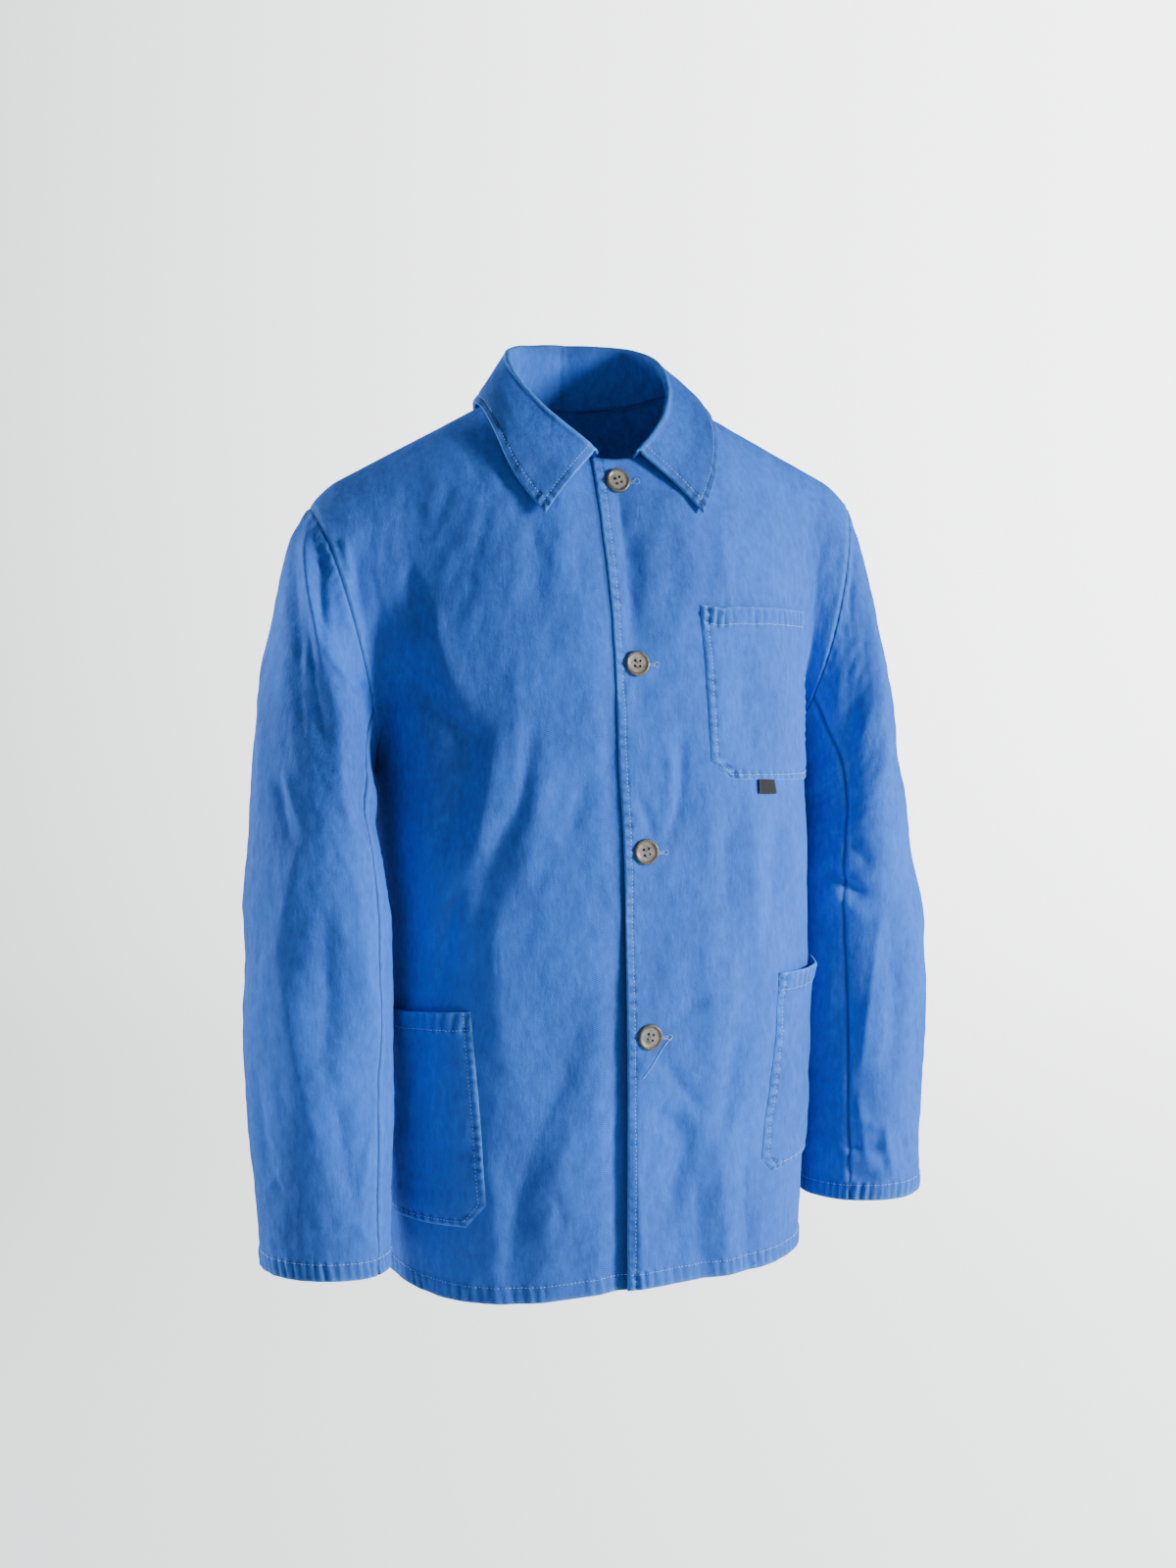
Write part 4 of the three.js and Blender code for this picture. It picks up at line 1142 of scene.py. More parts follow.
def sample(grid, row, column):
    """Values of a grid at rows and columns between its points."""
    row, column = np.broadcast_arrays(np.asarray(row, float), np.asarray(column, float))
    first_row = np.clip(np.floor(row).astype(int), 0, grid.shape[0] - 2)
    first_column = np.clip(np.floor(column).astype(int), 0, grid.shape[1] - 2)
    down = (row - first_row)[..., None]
    across = (column - first_column)[..., None]
    top = mix(grid[first_row, first_column], grid[first_row, first_column + 1], across)
    bottom = mix(grid[first_row + 1, first_column], grid[first_row + 1, first_column + 1], across)
    return mix(top, bottom, down)


def torso_place(piece, across, z):
    """Row and column of a front or the back at a distance across and a height."""
    across, z = np.broadcast_arrays(np.asarray(across, float), np.asarray(z, float))
    shares = across / piece.half
    side = np.where(shares < 0, -1.0, 1.0)
    low, high = np.zeros(shares.shape), np.ones(shares.shape)
    for _ in range(HALVINGS):
        middle = (low + high) / 2
        above = upper_point(piece.is_front, side, np.abs(shares), middle)[..., 2] > z
        low, high = np.where(above, middle, low), np.where(above, high, middle)
    hem_z = hem_height(piece.is_front, shares)
    lower = np.clip((z - UNDERARM_Z) / (hem_z - UNDERARM_Z), 0, 1)
    lower_rows = ARMHOLE_ROWS + np.arange(len(LOWER_SHARES) + 1)
    lower_row = np.interp(lower, np.concatenate([[0], LOWER_SHARES]), lower_rows)
    row = np.where(z >= UNDERARM_Z, low * ARMHOLE_ROWS, lower_row)
    order = np.argsort(piece.shares)
    column = np.interp(shares, piece.shares[order], order.astype(float))
    return row, column


def sleeve_place(piece, turn, down):
    row = np.interp(down, piece.downs, np.arange(len(piece.downs)))
    wanted = np.asarray(turn, float) * SLEEVE_COLUMNS / 360
    order = np.argsort(piece.columns)
    column = np.interp(wanted, piece.columns[order], order.astype(float))
    return np.broadcast_arrays(row, column)


def on_cloth(piece, row, column):
    return sample(piece.outer, row, column), unit(sample(piece.final_normals, row, column))


def on_torso(piece, across, z):
    return on_cloth(piece, *torso_place(piece, across, z))


# Patch pockets and the tab


def along_line(corners, parts):
    """Points at shares of the length of a line through its corners."""
    corners = np.array(corners, float)
    lengths = reach(corners)
    return np.stack([np.interp(parts, lengths / lengths[-1], column) for column in corners.T], axis=-1)


def line_length(corners):
    return reach(np.array(corners, float))[-1]


def segment_distance(places, start, end):
    start, end = np.array(start, float), np.array(end, float)
    line = end - start
    share = np.clip(((places - start) @ line) / (line @ line), 0, 1)
    return np.linalg.norm(places - start - share[..., None] * line, axis=-1)


def pocket_piece(name, shape):
    is_left = shape["top"][0][0] > 0
    downs = graded(line_length(shape["inner"]), EDGE_STEPS, EDGE_STEPS)
    crosses = graded(line_length(shape["top"]), EDGE_STEPS, EDGE_STEPS)
    lines = [along_line(shape[edge], downs / downs[-1])[:, None, :] for edge in ("inner", "outer")]
    start, end = lines if is_left else lines[::-1]
    places = mix(start, end, (crosses / crosses[-1])[None, :, None])
    points, normals = on_torso(front_left if is_left else front_right, places[..., 0], places[..., 1])
    piece = cloth_piece(name, points)
    piece.normals = normals
    piece.places = places
    piece.shape = shape
    piece.downs = downs
    piece.crosses = crosses
    return piece


def dress_pocket(piece, seed):
    shape, places = piece.shape, piece.places
    across, up = places[..., 0], places[..., 1]
    top = segment_distance(places, *shape["top"])
    bottom = segment_distance(places, shape["inner"][-1], shape["outer"][-1])
    sides = [segment_distance(places, a, b) for a, b in zip(shape["inner"][:-1], shape["inner"][1:])]
    sides.append(segment_distance(places, *shape["outer"]))
    side = np.min(sides, axis=0)
    sewn = np.minimum(bottom, side)
    from_edge = np.minimum(sewn, top)
    # Ripples along the sewn edges and the mouth, with painted shade in their hollows
    seams, seam_faded, seam_hollow_shade = stitched("pocket", seed + 2, sewn, np.where(bottom < side, across, up))
    mouth, mouth_faded, mouth_hollow_shade = stitched("pocket_top", seed + 3, top, across)
    rise, middle = SimpleNamespace(**POCKET_RISE), POCKET_MIDDLE
    lift = rise.edge + rise.turn * smooth(sewn / rise.turn_in)
    lift += rise.stitch * smooth((sewn - rise.stitch_in) / rise.stitch_ease)
    gape = shape["gape"] * np.exp(-top / POCKET_GAPE["down"]) * smooth(sewn / POCKET_GAPE["in"])
    creases = fold_height(POCKET_FOLDS, across, up) + softness("pocket", seed, (across, up), (across, up))
    creases = (creases + middle["rise"]) * smooth(sewn / middle["from"]) * middle["share"]
    height = lift + gape + creases + seams + mouth
    height = np.maximum(height + rounded_edge(from_edge), POCKET_CLEAR)
    wear = worn_edge(from_edge, fade=1.4) + seam_faded + mouth_faded
    mark(piece, wear, np.maximum(seam_hollow_shade, mouth_hollow_shade), across, -up)
    raise_grid(piece, height, np.minimum(POCKET_CLOTH, height - 0.1))


pockets = {name: pocket_piece(name, shape) for name, shape in POCKETS.items()}
for seed, pocket in zip((111, 131, 151), pockets.values()):
    dress_pocket(pocket, seed)


def tab_piece():
    """The bare tab, hanging a little off the cloth and curling at its foot."""
    down = np.linspace(0, 1, 15)
    left, right = along_line(TAB["left"], down), along_line(TAB["right"], down)
    across = np.linspace(-1, 1, 21)[None, :]
    places = mix(left[:, None, :], right[:, None, :], (across[..., None] + 1) / 2)
    points, normals = on_torso(front_left, places[..., 0], places[..., 1])
    down = down[:, None]
    piece = cloth_piece("label_tab", points)
    piece.normals = normals
    height = TAB_OFF + TAB_CURL["down"] * np.sin(down * TAB_CURL["turn"]) + TAB_CURL["across"] * across * down
    wear = TAB_WORN["most"] * np.clip(1 - (1 - np.abs(across)) / TAB_WORN["reach"], 0, 1)
    mark(piece, wear, 0, places[..., 0], places[..., 1])
    raise_grid(piece, height, np.full_like(height, TAB_CLOTH))
    return piece


label_tab = tab_piece()


# Meshes


def shell_faces(rows, columns):
    outer = np.arange(rows * columns).reshape(rows, columns)
    inner = outer + rows * columns
    quads = [
        (outer[:-1, :-1], outer[1:, :-1], outer[1:, 1:], outer[:-1, 1:]),
        (inner[:-1, :-1], inner[:-1, 1:], inner[1:, 1:], inner[1:, :-1]),
        (outer[:-1, 0], inner[:-1, 0], inner[1:, 0], outer[1:, 0]),
        (outer[:-1, -1], outer[1:, -1], inner[1:, -1], inner[:-1, -1]),
        (outer[0, :-1], outer[0, 1:], inner[0, 1:], inner[0, :-1]),
        (outer[-1, :-1], inner[-1, :-1], inner[-1, 1:], outer[-1, 1:]),
    ]
    return np.concatenate([np.stack([corner.ravel() for corner in quad], axis=1) for quad in quads])


def link(piece):
    bpy.context.scene.collection.objects.link(piece)


def make_active(piece):
    bpy.ops.object.select_all(action="DESELECT")
    piece.select_set(True)
    bpy.context.view_layer.objects.active = piece


def mesh_object(name, vertices, faces, material):
    mesh = bpy.data.meshes.new(name)
    mesh.vertices.add(len(vertices))
    mesh.vertices.foreach_set("co", np.ascontiguousarray(vertices, np.float32).ravel())
    sides = faces.shape[1]
    mesh.loops.add(faces.size)
    mesh.loops.foreach_set("vertex_index", faces.ravel().astype(np.int32))
    mesh.polygons.add(len(faces))
    mesh.polygons.foreach_set("loop_start", np.arange(0, faces.size, sides, dtype=np.int32))
    mesh.update(calc_edges=True)
    mesh.validate()
    mesh.polygons.foreach_set("use_smooth", np.ones(len(mesh.polygons), bool))
    mesh.materials.append(material)
    piece = bpy.data.objects.new(name, mesh)
    link(piece)
    return piece


def cloth_object(piece, material):
    rows, columns = piece.outer.shape[:2]
    vertices = np.concatenate([piece.outer.reshape(-1, 3), piece.inner.reshape(-1, 3)]) * MM
    built = mesh_object(piece.name + "_cloth", vertices, shell_faces(rows, columns), material)
    mesh = built.data
    # The seam attribute holds the dark seam lines and the painted shade
    for name in ("wear", "seam"):
        values = np.broadcast_to(getattr(piece, name), (rows, columns)).ravel()
        attribute = mesh.attributes.new(name, "FLOAT", "POINT")
        attribute.data.foreach_set("value", np.concatenate([values, 0.3 * values]).astype(np.float32))
    corner = np.zeros(len(mesh.loops), np.int32)
    mesh.loops.foreach_get("vertex_index", corner)
    uv = np.tile(piece.uv.reshape(-1, 2), (2, 1))[corner]
    mesh.uv_layers.new(name="cloth").data.foreach_set("uv", uv.astype(np.float32).ravel())
    mesh.set_sharp_from_angle(angle=math.radians(62))
    return built


# Sewing


def resampled(points, normals, pitch):
    """Middles, directions and normals of stitches a pitch apart along a line."""
    lengths = reach(points)
    end = lengths[-1]
    places = np.arange(pitch / 2, end, pitch)

    def pick(values, at):
        return np.stack([np.interp(at, lengths, column) for column in values.T], axis=-1)

    next_point = pick(points, np.minimum(places + pitch / 4, end))
    last_point = pick(points, np.maximum(places - pitch / 4, 0))
    return pick(points, places), unit(next_point - last_point), unit(pick(normals, places))


def around(aside, upward):
    """Directions round a thread."""
    turns = np.linspace(0, 2 * math.pi, STITCH_SIDES, endpoint=False)
    return [aside * math.cos(turn) + upward * math.sin(turn) for turn in turns]


def tube_faces(rings):
    """Faces between rings of points that follow one another."""
    first = np.arange((rings - 1) * STITCH_SIDES)
    beside = first - first % STITCH_SIDES + (first + 1) % STITCH_SIDES
    return np.stack([first, beside, beside + STITCH_SIDES, first + STITCH_SIDES], axis=1)


def thread_bars(middle, ahead, normal, lengths, radius, lift, dip):
    """Short threads that rise out of the cloth, pass over it and go down again."""
    aside = unit(np.cross(ahead, normal))
    upward = unit(np.cross(aside, ahead))
    rings = []
    for along, height, thick in ((-0.5, -dip, 0.75), (0, lift, 1.0), (0.5, -dip, 0.75)):
        centre = middle + ahead * (along * lengths)[:, None] + upward * height
        rings += [centre + radius * thick * way for way in around(aside, upward)]
    vertices = np.stack(rings, axis=1)
    count, per = vertices.shape[:2]
    faces = tube_faces(3)[None] + (np.arange(count) * per)[:, None, None]
    return vertices.reshape(-1, 3), faces.reshape(-1, 4)


class Sewing:
    """Gathers the threads of one piece into one mesh."""

    def __init__(self, name):
        self.name = name
        self.vertices = []
        self.faces = []
        self.count = 0
        self.rng = np.random.default_rng(sum(map(ord, name)))

    def add(self, vertices, faces):
        self.vertices.append(vertices)
        self.faces.append(faces + self.count)
        self.count += len(vertices)

    def line(self, points, normals):
        """A line of running stitches."""
        middle, ahead, normal = resampled(points, normals, STITCH_PITCH)
        aside = np.cross(ahead, normal)
        count = len(middle)
        middle = middle + aside * self.rng.normal(0, STITCH_SHIFT, (count, 1))
        ahead = unit(ahead + aside * self.rng.normal(0, STITCH_TILT, (count, 1)))
        lengths = STITCH_LENGTH * self.rng.uniform(0.88, 1.08, count)
        self.add(*thread_bars(middle, ahead, normal, lengths, THREAD_RADIUS, *STITCH_RISE))

    def across(self, points, normals, pitch, length):
        """Close threads square to a line, as on a buttonhole."""
        middle, ahead, normal = resampled(points, normals, pitch)
        aside = np.cross(ahead, normal)
        lengths = length * self.rng.uniform(0.9, 1.1, len(middle))
        self.add(*thread_bars(middle, aside, normal, lengths, BUTTONHOLE_THREAD, *BUTTONHOLE_RISE))

    def strand(self, points, radius):
        """A loose thread along a smooth line through some points."""
        index = np.arange(len(points), dtype=float)
        rows = dict(zip(("at", "x", "y", "z"), (index, *np.array(points, float).T)))
        curve = row_at(rows, "at", np.linspace(0, index[-1], 8 * len(points)))
        centre = xyz(curve.x, curve.y, curve.z)
        ahead = unit(np.gradient(centre, axis=0))
        aside = unit(np.cross(ahead, [0.3, -1, 0.2]))
        vertices = np.stack([centre + radius * way for way in around(aside, np.cross(aside, ahead))], axis=1)
        self.add(vertices.reshape(-1, 3), tube_faces(len(centre)))

    def build(self, material):
        vertices, faces = np.concatenate(self.vertices) * MM, np.concatenate(self.faces)
        return mesh_object(self.name, vertices, faces, material)


def sew_torso(piece):
    sewing = Sewing(piece.name + "_stitches")
    edge = piece.shares[[0, -1]] * piece.half
    across = np.linspace(edge.min() + 2, edge.max() - 2, 220)
    hem_z = hem_height(piece.is_front, across / piece.half)
    sewing.line(*on_torso(piece, across, hem_z + SEWN["hem"].stitch))
    if piece.name == "front_left":
        sewing.line(*on_torso(piece, -LAP + SEWN["placket"].stitch, np.linspace(-66, -742, 320)))
    return sewing


def sew_sleeve(piece):
    sewing = Sewing(piece.name + "_stitches")
    first, last = piece.columns[[0, -1]] * 360 / SLEEVE_COLUMNS
    place = sleeve_place(piece, np.linspace(first, last, 180), piece.length - SEWN["cuff"].stitch)
    sewing.line(*on_cloth(piece, *place))
    return sewing


def sew_collar(piece):
    """Stitches along the outer edge, then down both front ends."""
    sewing = Sewing("collar_stitches")
    stitch = SEWN["collar"].stitch
    share_in = stitch * COLLAR_SHARE_A_MM
    rows, columns = piece.from_seam.shape
    from_outer = (piece.from_seam[-1] - piece.from_seam)[::-1]
    inside = np.flatnonzero(piece.share >= share_in)
    outer_rows = [np.interp(stitch, from_outer[:, column], np.arange(rows)[::-1]) for column in inside]
    sewing.line(*on_cloth(piece, np.array(outer_rows), inside))
    end_rows = np.linspace(piece.first_fall_row - ROLL_ROWS / 2, outer_rows[0], 80)
    middle = columns // 2
    for half in (np.s_[:middle + 1], np.s_[middle:]):
        order = np.argsort(piece.share[half])
        column = np.interp(share_in, piece.share[half][order], np.arange(columns)[half][order])
        sewing.line(*on_cloth(piece, end_rows, column))
    return sewing


def sew_pocket(piece):
    """Stitches down both sides, along the bottom and under the hem of the mouth."""
    sewing = Sewing(piece.name + "_stitches")
    rows, columns = piece.outer.shape[:2]
    stitch = SEWN["pocket"].stitch
    in_column = np.interp(stitch, piece.crosses, np.arange(columns))
    out_column = columns - 1 - in_column
    bottom_row = rows - 1 - np.interp(stitch, EDGE_STEPS, np.arange(len(EDGE_STEPS)))
    hem_row = np.interp(SEWN["pocket_top"].stitch, piece.downs, np.arange(rows))
    down = np.linspace(0.6, bottom_row, STITCH_PLACES)
    places = [(down, in_column), (down, out_column)]
    places.append((bottom_row, np.linspace(in_column, out_column, STITCH_PLACES)))
    places.append((hem_row, np.linspace(1.5, columns - 2.5, STITCH_PLACES)))
    for row, column in places:
        sewing.line(*on_cloth(piece, row, column))
    return sewing


# Materials


def node_group(name, inputs, outputs):
    group = bpy.data.node_groups.new(name, "ShaderNodeTree")
    for label, kind in inputs:
        group.interface.new_socket(label, in_out="INPUT", socket_type=kind)
    for label, kind in outputs:
        group.interface.new_socket(label, in_out="OUTPUT", socket_type=kind)
    return group, group.nodes.new("NodeGroupInput"), group.nodes.new("NodeGroupOutput")


def feed(tree, sockets, values):
    """Gives each socket its value, or a link where the value comes from another node."""
    for label, value in values.items():
        if isinstance(value, bpy.types.NodeSocket):
            tree.links.new(value, sockets[label])
        else:
            sockets[label].default_value = value


def add_node(tree, kind, values, **settings):
    """A new node with its settings and inputs; gives its outputs."""
    node = tree.nodes.new("ShaderNode" + kind)
    for name, setting in settings.items():
        setattr(node, name, setting)
    feed(tree, node.inputs, values)
    return node.outputs


def calc(tree, operation, *values):
    return add_node(tree, "Math", dict(enumerate(values)), operation=operation)[0]


def mix_colour(tree, factor, first, second):
    return add_node(tree, "Mix", {0: factor, 6: first, 7: second}, data_type="RGBA")[2]


def noise(tree, vector, scale, detail=3.0, roughness=0.55):
    values = {"Vector": vector, "Scale": scale, "Detail": detail, "Roughness": roughness}
    return add_node(tree, "TexNoise", values)[0]


def stretch(tree, value, low, high):
    return add_node(tree, "MapRange", {"Value": value, "From Min": low, "From Max": high})[0]


def bump(tree, height, strength, distance, **normal):
    values = {"Height": height, "Strength": strength, "Distance": distance, **normal}
    return add_node(tree, "Bump", values)["Normal"]


def twill_group():
    """Diagonal ribs of a twill weave with its yarns uneven, from a UV map in metres."""
    group, given, made = node_group(
        "twill_weave",
        [("UV", "NodeSocketVector"), ("Ribs", "NodeSocketFloat")],
        [("Height", "NodeSocketFloat"), ("Fleck", "NodeSocketFloat")],
    )
    values = {0: given.outputs["UV"], "Scale": given.outputs["Ribs"]}
    scaled = add_node(group, "VectorMath", values, operation="SCALE")[0]
    values = {"Vector": scaled, "Scale": 1.0, "Distortion": 1.2, "Detail": 1.0}
    ribs = add_node(group, "TexWave", values, wave_type="BANDS", bands_direction="DIAGONAL")[1]
    fleck = noise(group, scaled, 1.6, 3.0, 0.7)
    height = calc(group, "ADD", calc(group, "MULTIPLY", ribs, 0.6), fleck)
    feed(group, made.inputs, {"Height": height, "Fleck": fleck})
    return group


def fading_group():
    """How far dye has gone: along edges and crests, broken up, and in soft patches."""
    group, given, made = node_group(
        "dye_fading",
        [("Wear", "NodeSocketFloat"), ("Place", "NodeSocketVector"), ("UV", "NodeSocketVector")],
        [("Faded", "NodeSocketFloat"), ("Patches", "NodeSocketFloat"), ("Crumple", "NodeSocketFloat")],
    )
    place = given.outputs["Place"]
    patches = stretch(group, noise(group, place, 7.0, 4.0, 0.6), 0.3, 0.7)
    grain = stretch(group, noise(group, given.outputs["UV"], 150.0, 4.0, 0.7), 0.3, 0.7)
    uneven = calc(group, "ADD", calc(group, "MULTIPLY", grain, 0.9), 0.3)
    broken = calc(group, "MULTIPLY", given.outputs["Wear"], uneven)
    bent = add_node(group, "VectorMath", {0: place, 1: (1.0, 1.0, 0.45)}, operation="MULTIPLY")[0]
    fine = stretch(group, noise(group, bent, 210.0, 4.0, 0.7), 0.32, 0.68)
    creased = noise(group, bent, 42.0, 5.0, 0.62)
    feed(group, made.inputs, {
        "Faded": calc(group, "MINIMUM", broken, 1.0),
        "Patches": calc(group, "ADD", *(calc(group, "MULTIPLY", part, 0.5) for part in (fine, patches))),
        "Crumple": calc(group, "ABSOLUTE", calc(group, "SUBTRACT", creased, 0.5)),
    })
    return group


TWILL = twill_group()
FADING = fading_group()


def attribute(tree, name):
    return add_node(tree, "Attribute", {}, attribute_name=name)["Fac"]


def coordinates(tree):
    return add_node(tree, "TexCoord", {})


def new_material(name):
    material = bpy.data.materials.new(name)
    material.use_nodes = True
    tree = material.node_tree
    return material, tree, tree.nodes["Principled BSDF"]


def cloth_material(name, deep, mid, pale, seam_and_shade_colour, roughness, sheen):
    material, tree, shader = new_material(name)
    places = coordinates(tree)
    weave = add_node(tree, "Group", {"UV": places["UV"], "Ribs": TWILL_RIBS}, node_tree=TWILL)
    values = {"Wear": attribute(tree, "wear"), "Place": places["Object"], "UV": places["UV"]}
    fading = add_node(tree, "Group", values, node_tree=FADING)
    base = mix_colour(tree, fading["Patches"], deep, mid)
    flecked = mix_colour(tree, calc(tree, "MULTIPLY", weave["Fleck"], FLECK), base, pale)
    worn = mix_colour(tree, fading["Faded"], flecked, pale)
    # Seam lines and painted shade darken the colour: the hollows of the ripples, beside the lapped edge and
    # the collar's fall
    dark = calc(tree, "MULTIPLY", attribute(tree, "seam"), SEAM_AND_SHADE_DARKNESS)
    crumple = bump(tree, fading["Crumple"], 0.8, CRUMPLE_DEPTH)
    feed(tree, shader.inputs, {
        "Base Color": mix_colour(tree, dark, worn, seam_and_shade_colour),
        "Normal": bump(tree, weave["Height"], 0.6, TWILL_DEPTH, Normal=crumple),
        "Roughness": roughness,
        "Sheen Weight": sheen,
        "Sheen Roughness": 0.5,
        "Sheen Tint": pale,
        "Specular IOR Level": 0.18,
    })
    return material


def thread_material(name, dark, pale):
    material, tree, shader = new_material(name)
    dirt = stretch(tree, noise(tree, coordinates(tree)["Object"], 120.0, 3.0), 0.3, 0.7)
    feed(tree, shader.inputs, {"Base Color": mix_colour(tree, dirt, dark, pale), "Roughness": 0.7})
    return material


def horn_material():
    """Mottled grey-brown horn, darker round its rim than in its dish."""
    material, tree, shader = new_material("mottled_horn")
    place = coordinates(tree)["Object"]
    cloud = stretch(tree, noise(tree, place, 190.0, 4.0, 0.6), 0.32, 0.68)
    streak = stretch(tree, noise(tree, place, 700.0, 3.0, 0.6), 0.35, 0.7)
    dish = mix_colour(tree, cloud, (0.10, 0.085, 0.062, 1), (0.27, 0.24, 0.19, 1))
    rim = mix_colour(tree, cloud, (0.032, 0.027, 0.018, 1), (0.10, 0.085, 0.06, 1))
    body = mix_colour(tree, attribute(tree, "rim"), dish, rim)
    paler = calc(tree, "MULTIPLY", streak, 0.22)
    feed(tree, shader.inputs, {
        "Base Color": mix_colour(tree, paler, body, (0.38, 0.345, 0.30, 1)),
        "Roughness": calc(tree, "ADD", calc(tree, "MULTIPLY", streak, 0.2), 0.28),
        "Normal": bump(tree, streak, 0.3, 0.0002),
        "Coat Weight": 0.2,
    })
    return material


def stage_material():
    """Pale paper that glows for the camera alone, brighter towards the window side."""
    material, tree, shader = new_material("stage_paper")
    place = coordinates(tree)["Object"]
    grain = noise(tree, place, 1.5, 2.0)
    across = stretch(tree, add_node(tree, "SeparateXYZ", {0: place})["X"], -0.5, 4.2)
    glow = calc(tree, "ADD", calc(tree, "MULTIPLY", across, GLOW_RISE), GLOW)
    seen = add_node(tree, "LightPath", {})["Is Camera Ray"]
    feed(tree, shader.inputs, {
        "Base Color": mix_colour(tree, grain, (0.70, 0.71, 0.73, 1), (0.74, 0.75, 0.77, 1)),
        "Roughness": 0.95,
        "Emission Strength": calc(tree, "MULTIPLY", glow, seen),
        "Emission Color": (0.985, 1.0, 0.99, 1),
    })
    return material


BLUE_CLOTH = cloth_material("worn_blue_cotton", DEEP_BLUE, MID_BLUE, PALE_BLUE, SEAM_AND_SHADE_BLUE, 0.80, 0.03)
BLACK_TAPE = cloth_material("black_woven_tape", TAPE_BLACK, TAPE_BLACK, TAPE_WORN, TAPE_BLACK, 0.7, 0.05)
PALE_THREAD = thread_material("pale_thread", (0.26, 0.46, 0.84, 1), (0.50, 0.67, 0.92, 1))
BUTTON_THREAD = thread_material("button_thread", (0.12, 0.11, 0.10, 1), (0.26, 0.25, 0.23, 1))
HORN = horn_material()


# Buttons


def select_face_up(piece):
    """Selects the topmost level face, in edit mode."""
    shape = bmesh.from_edit_mesh(piece.data)
    bpy.ops.mesh.select_all(action="DESELECT")
    faces = [face for face in shape.faces if face.normal.z > 0.9]
    top = max(faces, key=lambda face: (round(face.calc_center_median().z, 6), face.calc_area()))
    top.select = True
    bmesh.update_edit_mesh(piece.data)


def apply_modifiers(piece):
    make_active(piece)
    for modifier in list(piece.modifiers):
        bpy.ops.object.modifier_apply(modifier=modifier.name)


def cylinder(sides, radius, depth, x, y, z):
    bpy.ops.mesh.primitive_cylinder_add(
        vertices=sides, radius=radius * MM, depth=depth * MM, location=(x * MM, y * MM, z * MM))
    return bpy.context.active_object


def model_button():
    """A turned button with a raised rim, a dished face and four holes, lying on its back."""
    disc = cylinder(56, BUTTON_RADIUS, BUTTON_DISC, 0, 0, BUTTON_DISC / 2)
    make_active(disc)
    bpy.ops.object.mode_set(mode="EDIT")
    bpy.ops.mesh.select_mode(type="FACE")
    select_face_up(disc)
    for inward, upward in BUTTON_INSETS:
        bpy.ops.mesh.inset(thickness=inward * MM, depth=upward * MM)
    bpy.ops.object.mode_set(mode="OBJECT")
    bevel = disc.modifiers.new("soft_rim", "BEVEL")
    bevel.width = BUTTON_BEVEL * MM
    bevel.segments = 3
    bevel.limit_method = "ANGLE"
    bevel.angle_limit = math.radians(18)
    apply_modifiers(disc)
    holes = []
    for x, y in ((1, 1), (-1, 1), (-1, -1), (1, -1)):
        hole = cylinder(16, BUTTON_HOLE_RADIUS, 12, x * BUTTON_HOLE_OFFSET, y * BUTTON_HOLE_OFFSET, 0)
        holes.append(hole)
    for hole in holes:
        cut = disc.modifiers.new("hole", "BOOLEAN")
        cut.operation = "DIFFERENCE"
        cut.object = hole
        cut.solver = "EXACT"
    apply_modifiers(disc)
    for hole in holes:
        bpy.data.objects.remove(hole)
    from_middle = np.array([vertex.co.xy.length / MM for vertex in disc.data.vertices])
    rim = disc.data.attributes.new("rim", "FLOAT", "POINT")
    rim.data.foreach_set("value", smooth((from_middle - RIM_FROM) / RIM_EASE).astype(np.float32))
    disc.data.materials.clear()
    disc.data.materials.append(HORN)
    return disc


def node_frame(name):
    """Middle of a flat round node's back, and its directions across, up and out."""
    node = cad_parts[name]
    places = np.array([vertex.co for vertex in node.data.vertices], float)
    middle = places.mean(axis=0)
    _, _, axes = np.linalg.svd(places - middle)
    out = axes[2] if axes[2][1] < 0 else -axes[2]
    heights = (places - middle) @ out
    back_middle = middle + out * heights.min()
    right = unit(np.array([1.0, 0, 0]) - out * out[0])
    up = np.cross(out, right)
    return back_middle, right, up, out


def placed_button(model, index):
    back_middle, right, up, out = node_frame(f"button_{index + 1}")
    button = model.copy()
    button.data = model.data.copy()
    button.name = f"button_{index + 1}_horn"
    link(button)
    basis = np.eye(4)
    basis[:3] = np.stack([right, up, out, back_middle], axis=1)
    button.data.transform(Matrix(basis) @ Matrix.Rotation(math.radians(BUTTON_TURNS[index]), 4, "Z"))
    make_active(button)
    bpy.ops.object.shade_smooth_by_angle(angle=math.radians(35))
    return button


def button_threads(index):
    """Two runs of thread over each pair of holes."""
    back_middle, right, up, out = node_frame(f"button_{index + 1}")
    sewing = Sewing(f"button_{index + 1}_thread")
    turn = math.radians(BUTTON_TURNS[index])
    across = right * math.cos(turn) + up * math.sin(turn)
    along = -right * math.sin(turn) + up * math.cos(turn)
    run = SimpleNamespace(**THREAD_RUN)
    for side in (-1, 1):
        for step in (-run.apart, run.apart):
            middle = back_middle / MM + along * (side * BUTTON_HOLE_OFFSET + step) + out * run.off
            lengths = np.array([run.length])
            sewing.add(*thread_bars(
                middle[None], across[None], out[None], lengths, run.radius, *BUTTON_THREAD_RISE))
    return sewing


def loose_thread(sewing, z, way, off, radius):
    """A thread off a buttonhole's outer end, a little above the lapped front."""
    points = []
    for across, up in way:
        point, normal = on_torso(front_left, BUTTONHOLE[1] + across, z + up)
        points.append(point + normal * off)
    sewing.strand(points, radius)


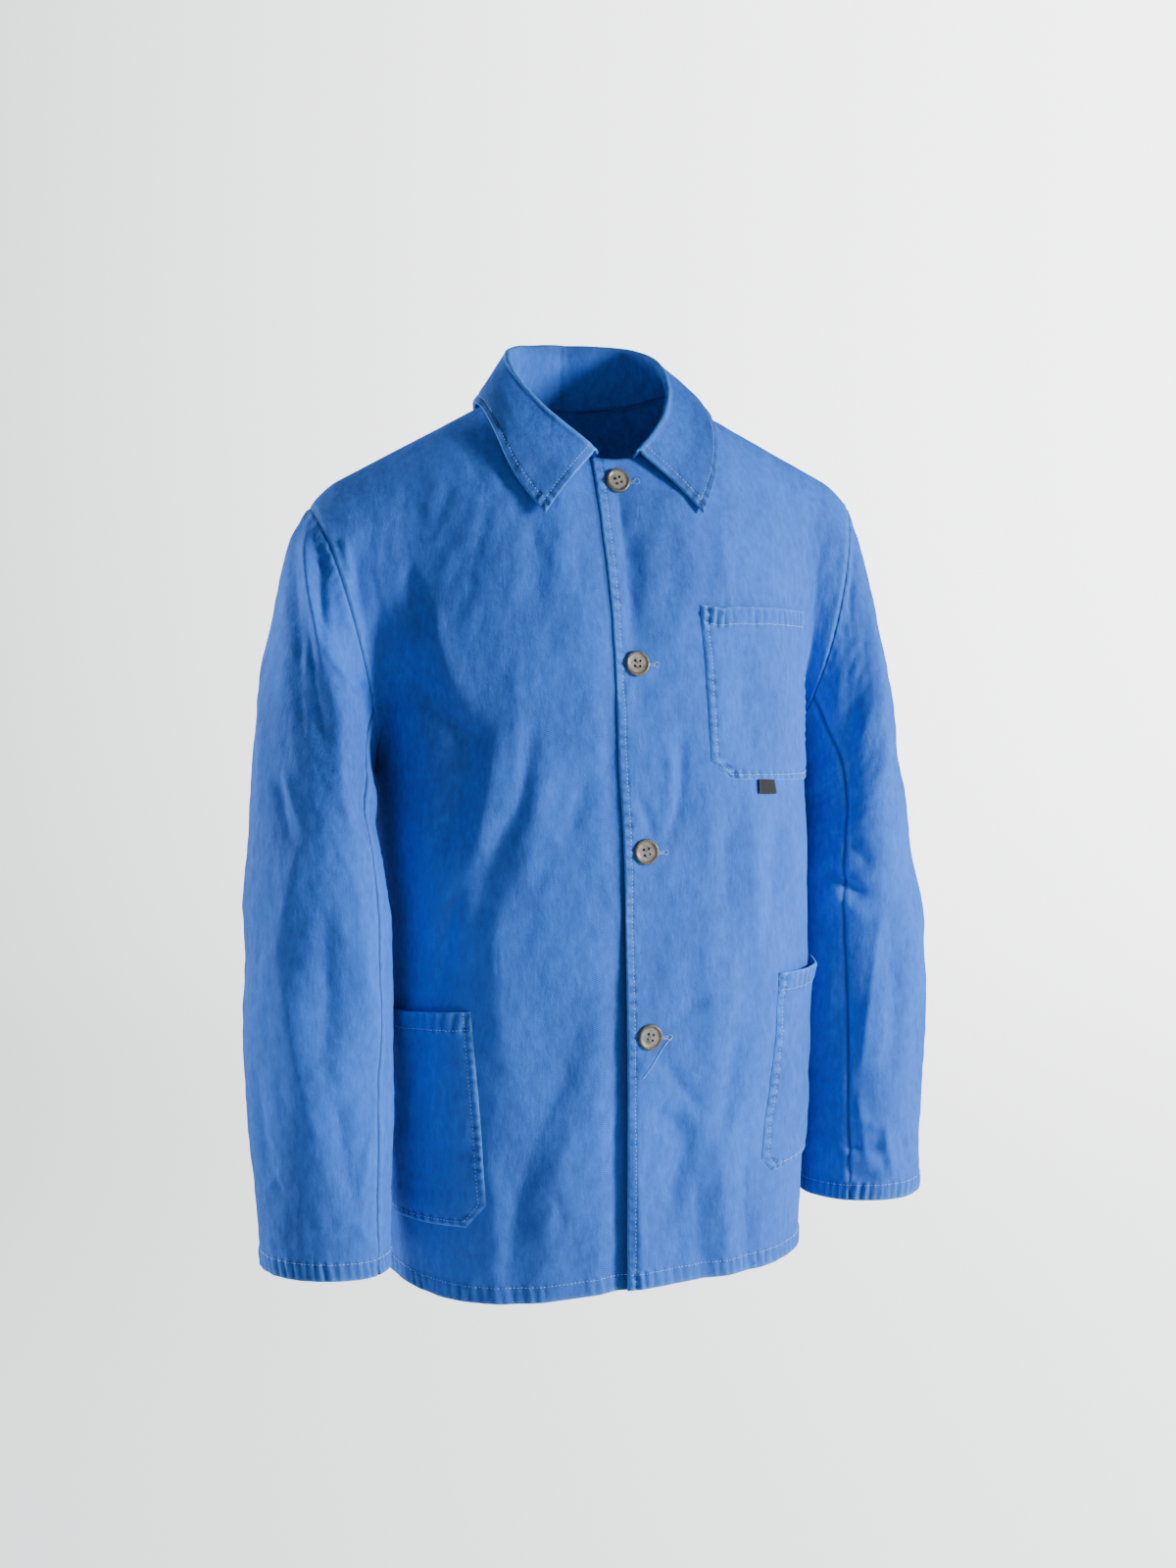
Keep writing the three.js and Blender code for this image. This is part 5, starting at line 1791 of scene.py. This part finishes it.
def buttonhole(sewing, z):
    """A small worked buttonhole, with a loop of its thread come loose past the button."""
    across = np.linspace(*BUTTONHOLE, 40)
    half, *threads = BUTTONHOLE_SIDE
    for up in (-half, half):
        sewing.across(*on_torso(front_left, across, z + up), *threads)
    half, *threads = BUTTONHOLE_END
    sewing.across(*on_torso(front_left, BUTTONHOLE[1], z + np.linspace(-half, half, 12)), *threads)
    loose_thread(sewing, z, LOOSE_LOOP, 0.7, 0.16)


# Camera, lights and stage


def make_camera():
    data = bpy.data.cameras.new("camera")
    data.lens = CAMERA_LENS
    data.sensor_width = 36
    data.shift_y = CAMERA_SHIFT
    camera = bpy.data.objects.new("camera", data)
    camera.location = (
        -CAMERA_DISTANCE * math.sin(CAMERA_TURN),
        -CAMERA_DISTANCE * math.cos(CAMERA_TURN),
        CAMERA_HEIGHT,
    )
    camera.rotation_euler = (math.pi / 2, 0, -CAMERA_TURN)
    link(camera)
    bpy.context.scene.camera = camera


def area_light(name, place, size, power, colour):
    data = bpy.data.lights.new(name, "AREA")
    data.shape = "DISK"
    data.size = size
    data.energy = power
    data.color = colour
    light = bpy.data.objects.new(name, data)
    light.location = place
    light.rotation_euler = (Vector(LIT_PLACE) - Vector(place)).to_track_quat("-Z", "Y").to_euler()
    link(light)


def make_lights():
    for name, row in LIGHTS.items():
        area_light(name, *row)
    world = bpy.data.worlds.new("soft_room")
    world.use_nodes = True
    feed(world.node_tree, world.node_tree.nodes["Background"].inputs, ROOM_LIGHT)
    bpy.context.scene.world = world


def make_stage():
    """A round room of pale paper, its floor curving up into its wall."""
    flat = ROOM_RADIUS - ROOM_COVE
    profile = [(flat, FLOOR_Z)]
    for turn in np.linspace(0, math.pi / 2, COVE_STEPS + 1)[1:]:
        profile.append((flat + ROOM_COVE * math.sin(turn), FLOOR_Z + ROOM_COVE * (1 - math.cos(turn))))
    profile.append((ROOM_RADIUS, FLOOR_Z + ROOM_HEIGHT))
    turns = np.linspace(0, 2 * math.pi, ROOM_SIDES, endpoint=False)
    vertices = [(r * math.cos(t), r * math.sin(t), z) for r, z in profile for t in turns]
    vertices.append((0, 0, FLOOR_Z))
    faces = [(len(vertices) - 1, k, (k + 1) % ROOM_SIDES) for k in range(ROOM_SIDES)]
    for start in range(0, (len(profile) - 1) * ROOM_SIDES, ROOM_SIDES):
        for k in range(ROOM_SIDES):
            a, b = start + k, start + (k + 1) % ROOM_SIDES
            faces.append((a, a + ROOM_SIDES, b + ROOM_SIDES, b))
    mesh = bpy.data.meshes.new("stage")
    mesh.from_pydata(vertices, [], faces)
    for polygon in mesh.polygons:
        polygon.use_smooth = True
    mesh.materials.append(stage_material())
    room = bpy.data.objects.new("stage", mesh)
    link(room)


make_camera()
make_lights()
make_stage()


# Putting the jacket together


def belongs(piece, slot, *nodes):
    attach(piece, "root")
    if nodes:
        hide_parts(*nodes)


cloths = torso + sleeves + [collar] + list(pockets.values()) + [label_tab]
built = {}
for piece in cloths:
    is_tab = piece is label_tab
    built[piece.name] = cloth_object(piece, BLACK_TAPE if is_tab else BLUE_CLOTH)
    belongs(built[piece.name], "black_tape" if is_tab else "blue_cloth", piece.name)

sewings = [sew_torso(piece) for piece in torso] + [sew_sleeve(piece) for piece in sleeves]
sewings += [sew_collar(collar)] + [sew_pocket(piece) for piece in pockets.values()]
holes = Sewing("buttonhole_stitches")
for z in BUTTON_HEIGHTS:
    buttonhole(holes, z)
loose_thread(holes, BUTTON_HEIGHTS[-1], LOOSE_END, 0.8, 0.2)
sewings.append(holes)
for sewing in sewings:
    belongs(sewing.build(PALE_THREAD), "blue_cloth")
for index in range(len(BUTTON_HEIGHTS)):
    belongs(button_threads(index).build(BUTTON_THREAD), "blue_cloth")

model = model_button()
for index in range(len(BUTTON_HEIGHTS)):
    belongs(placed_button(model, index), "horn_button", f"button_{index + 1}")
bpy.data.objects.remove(model)
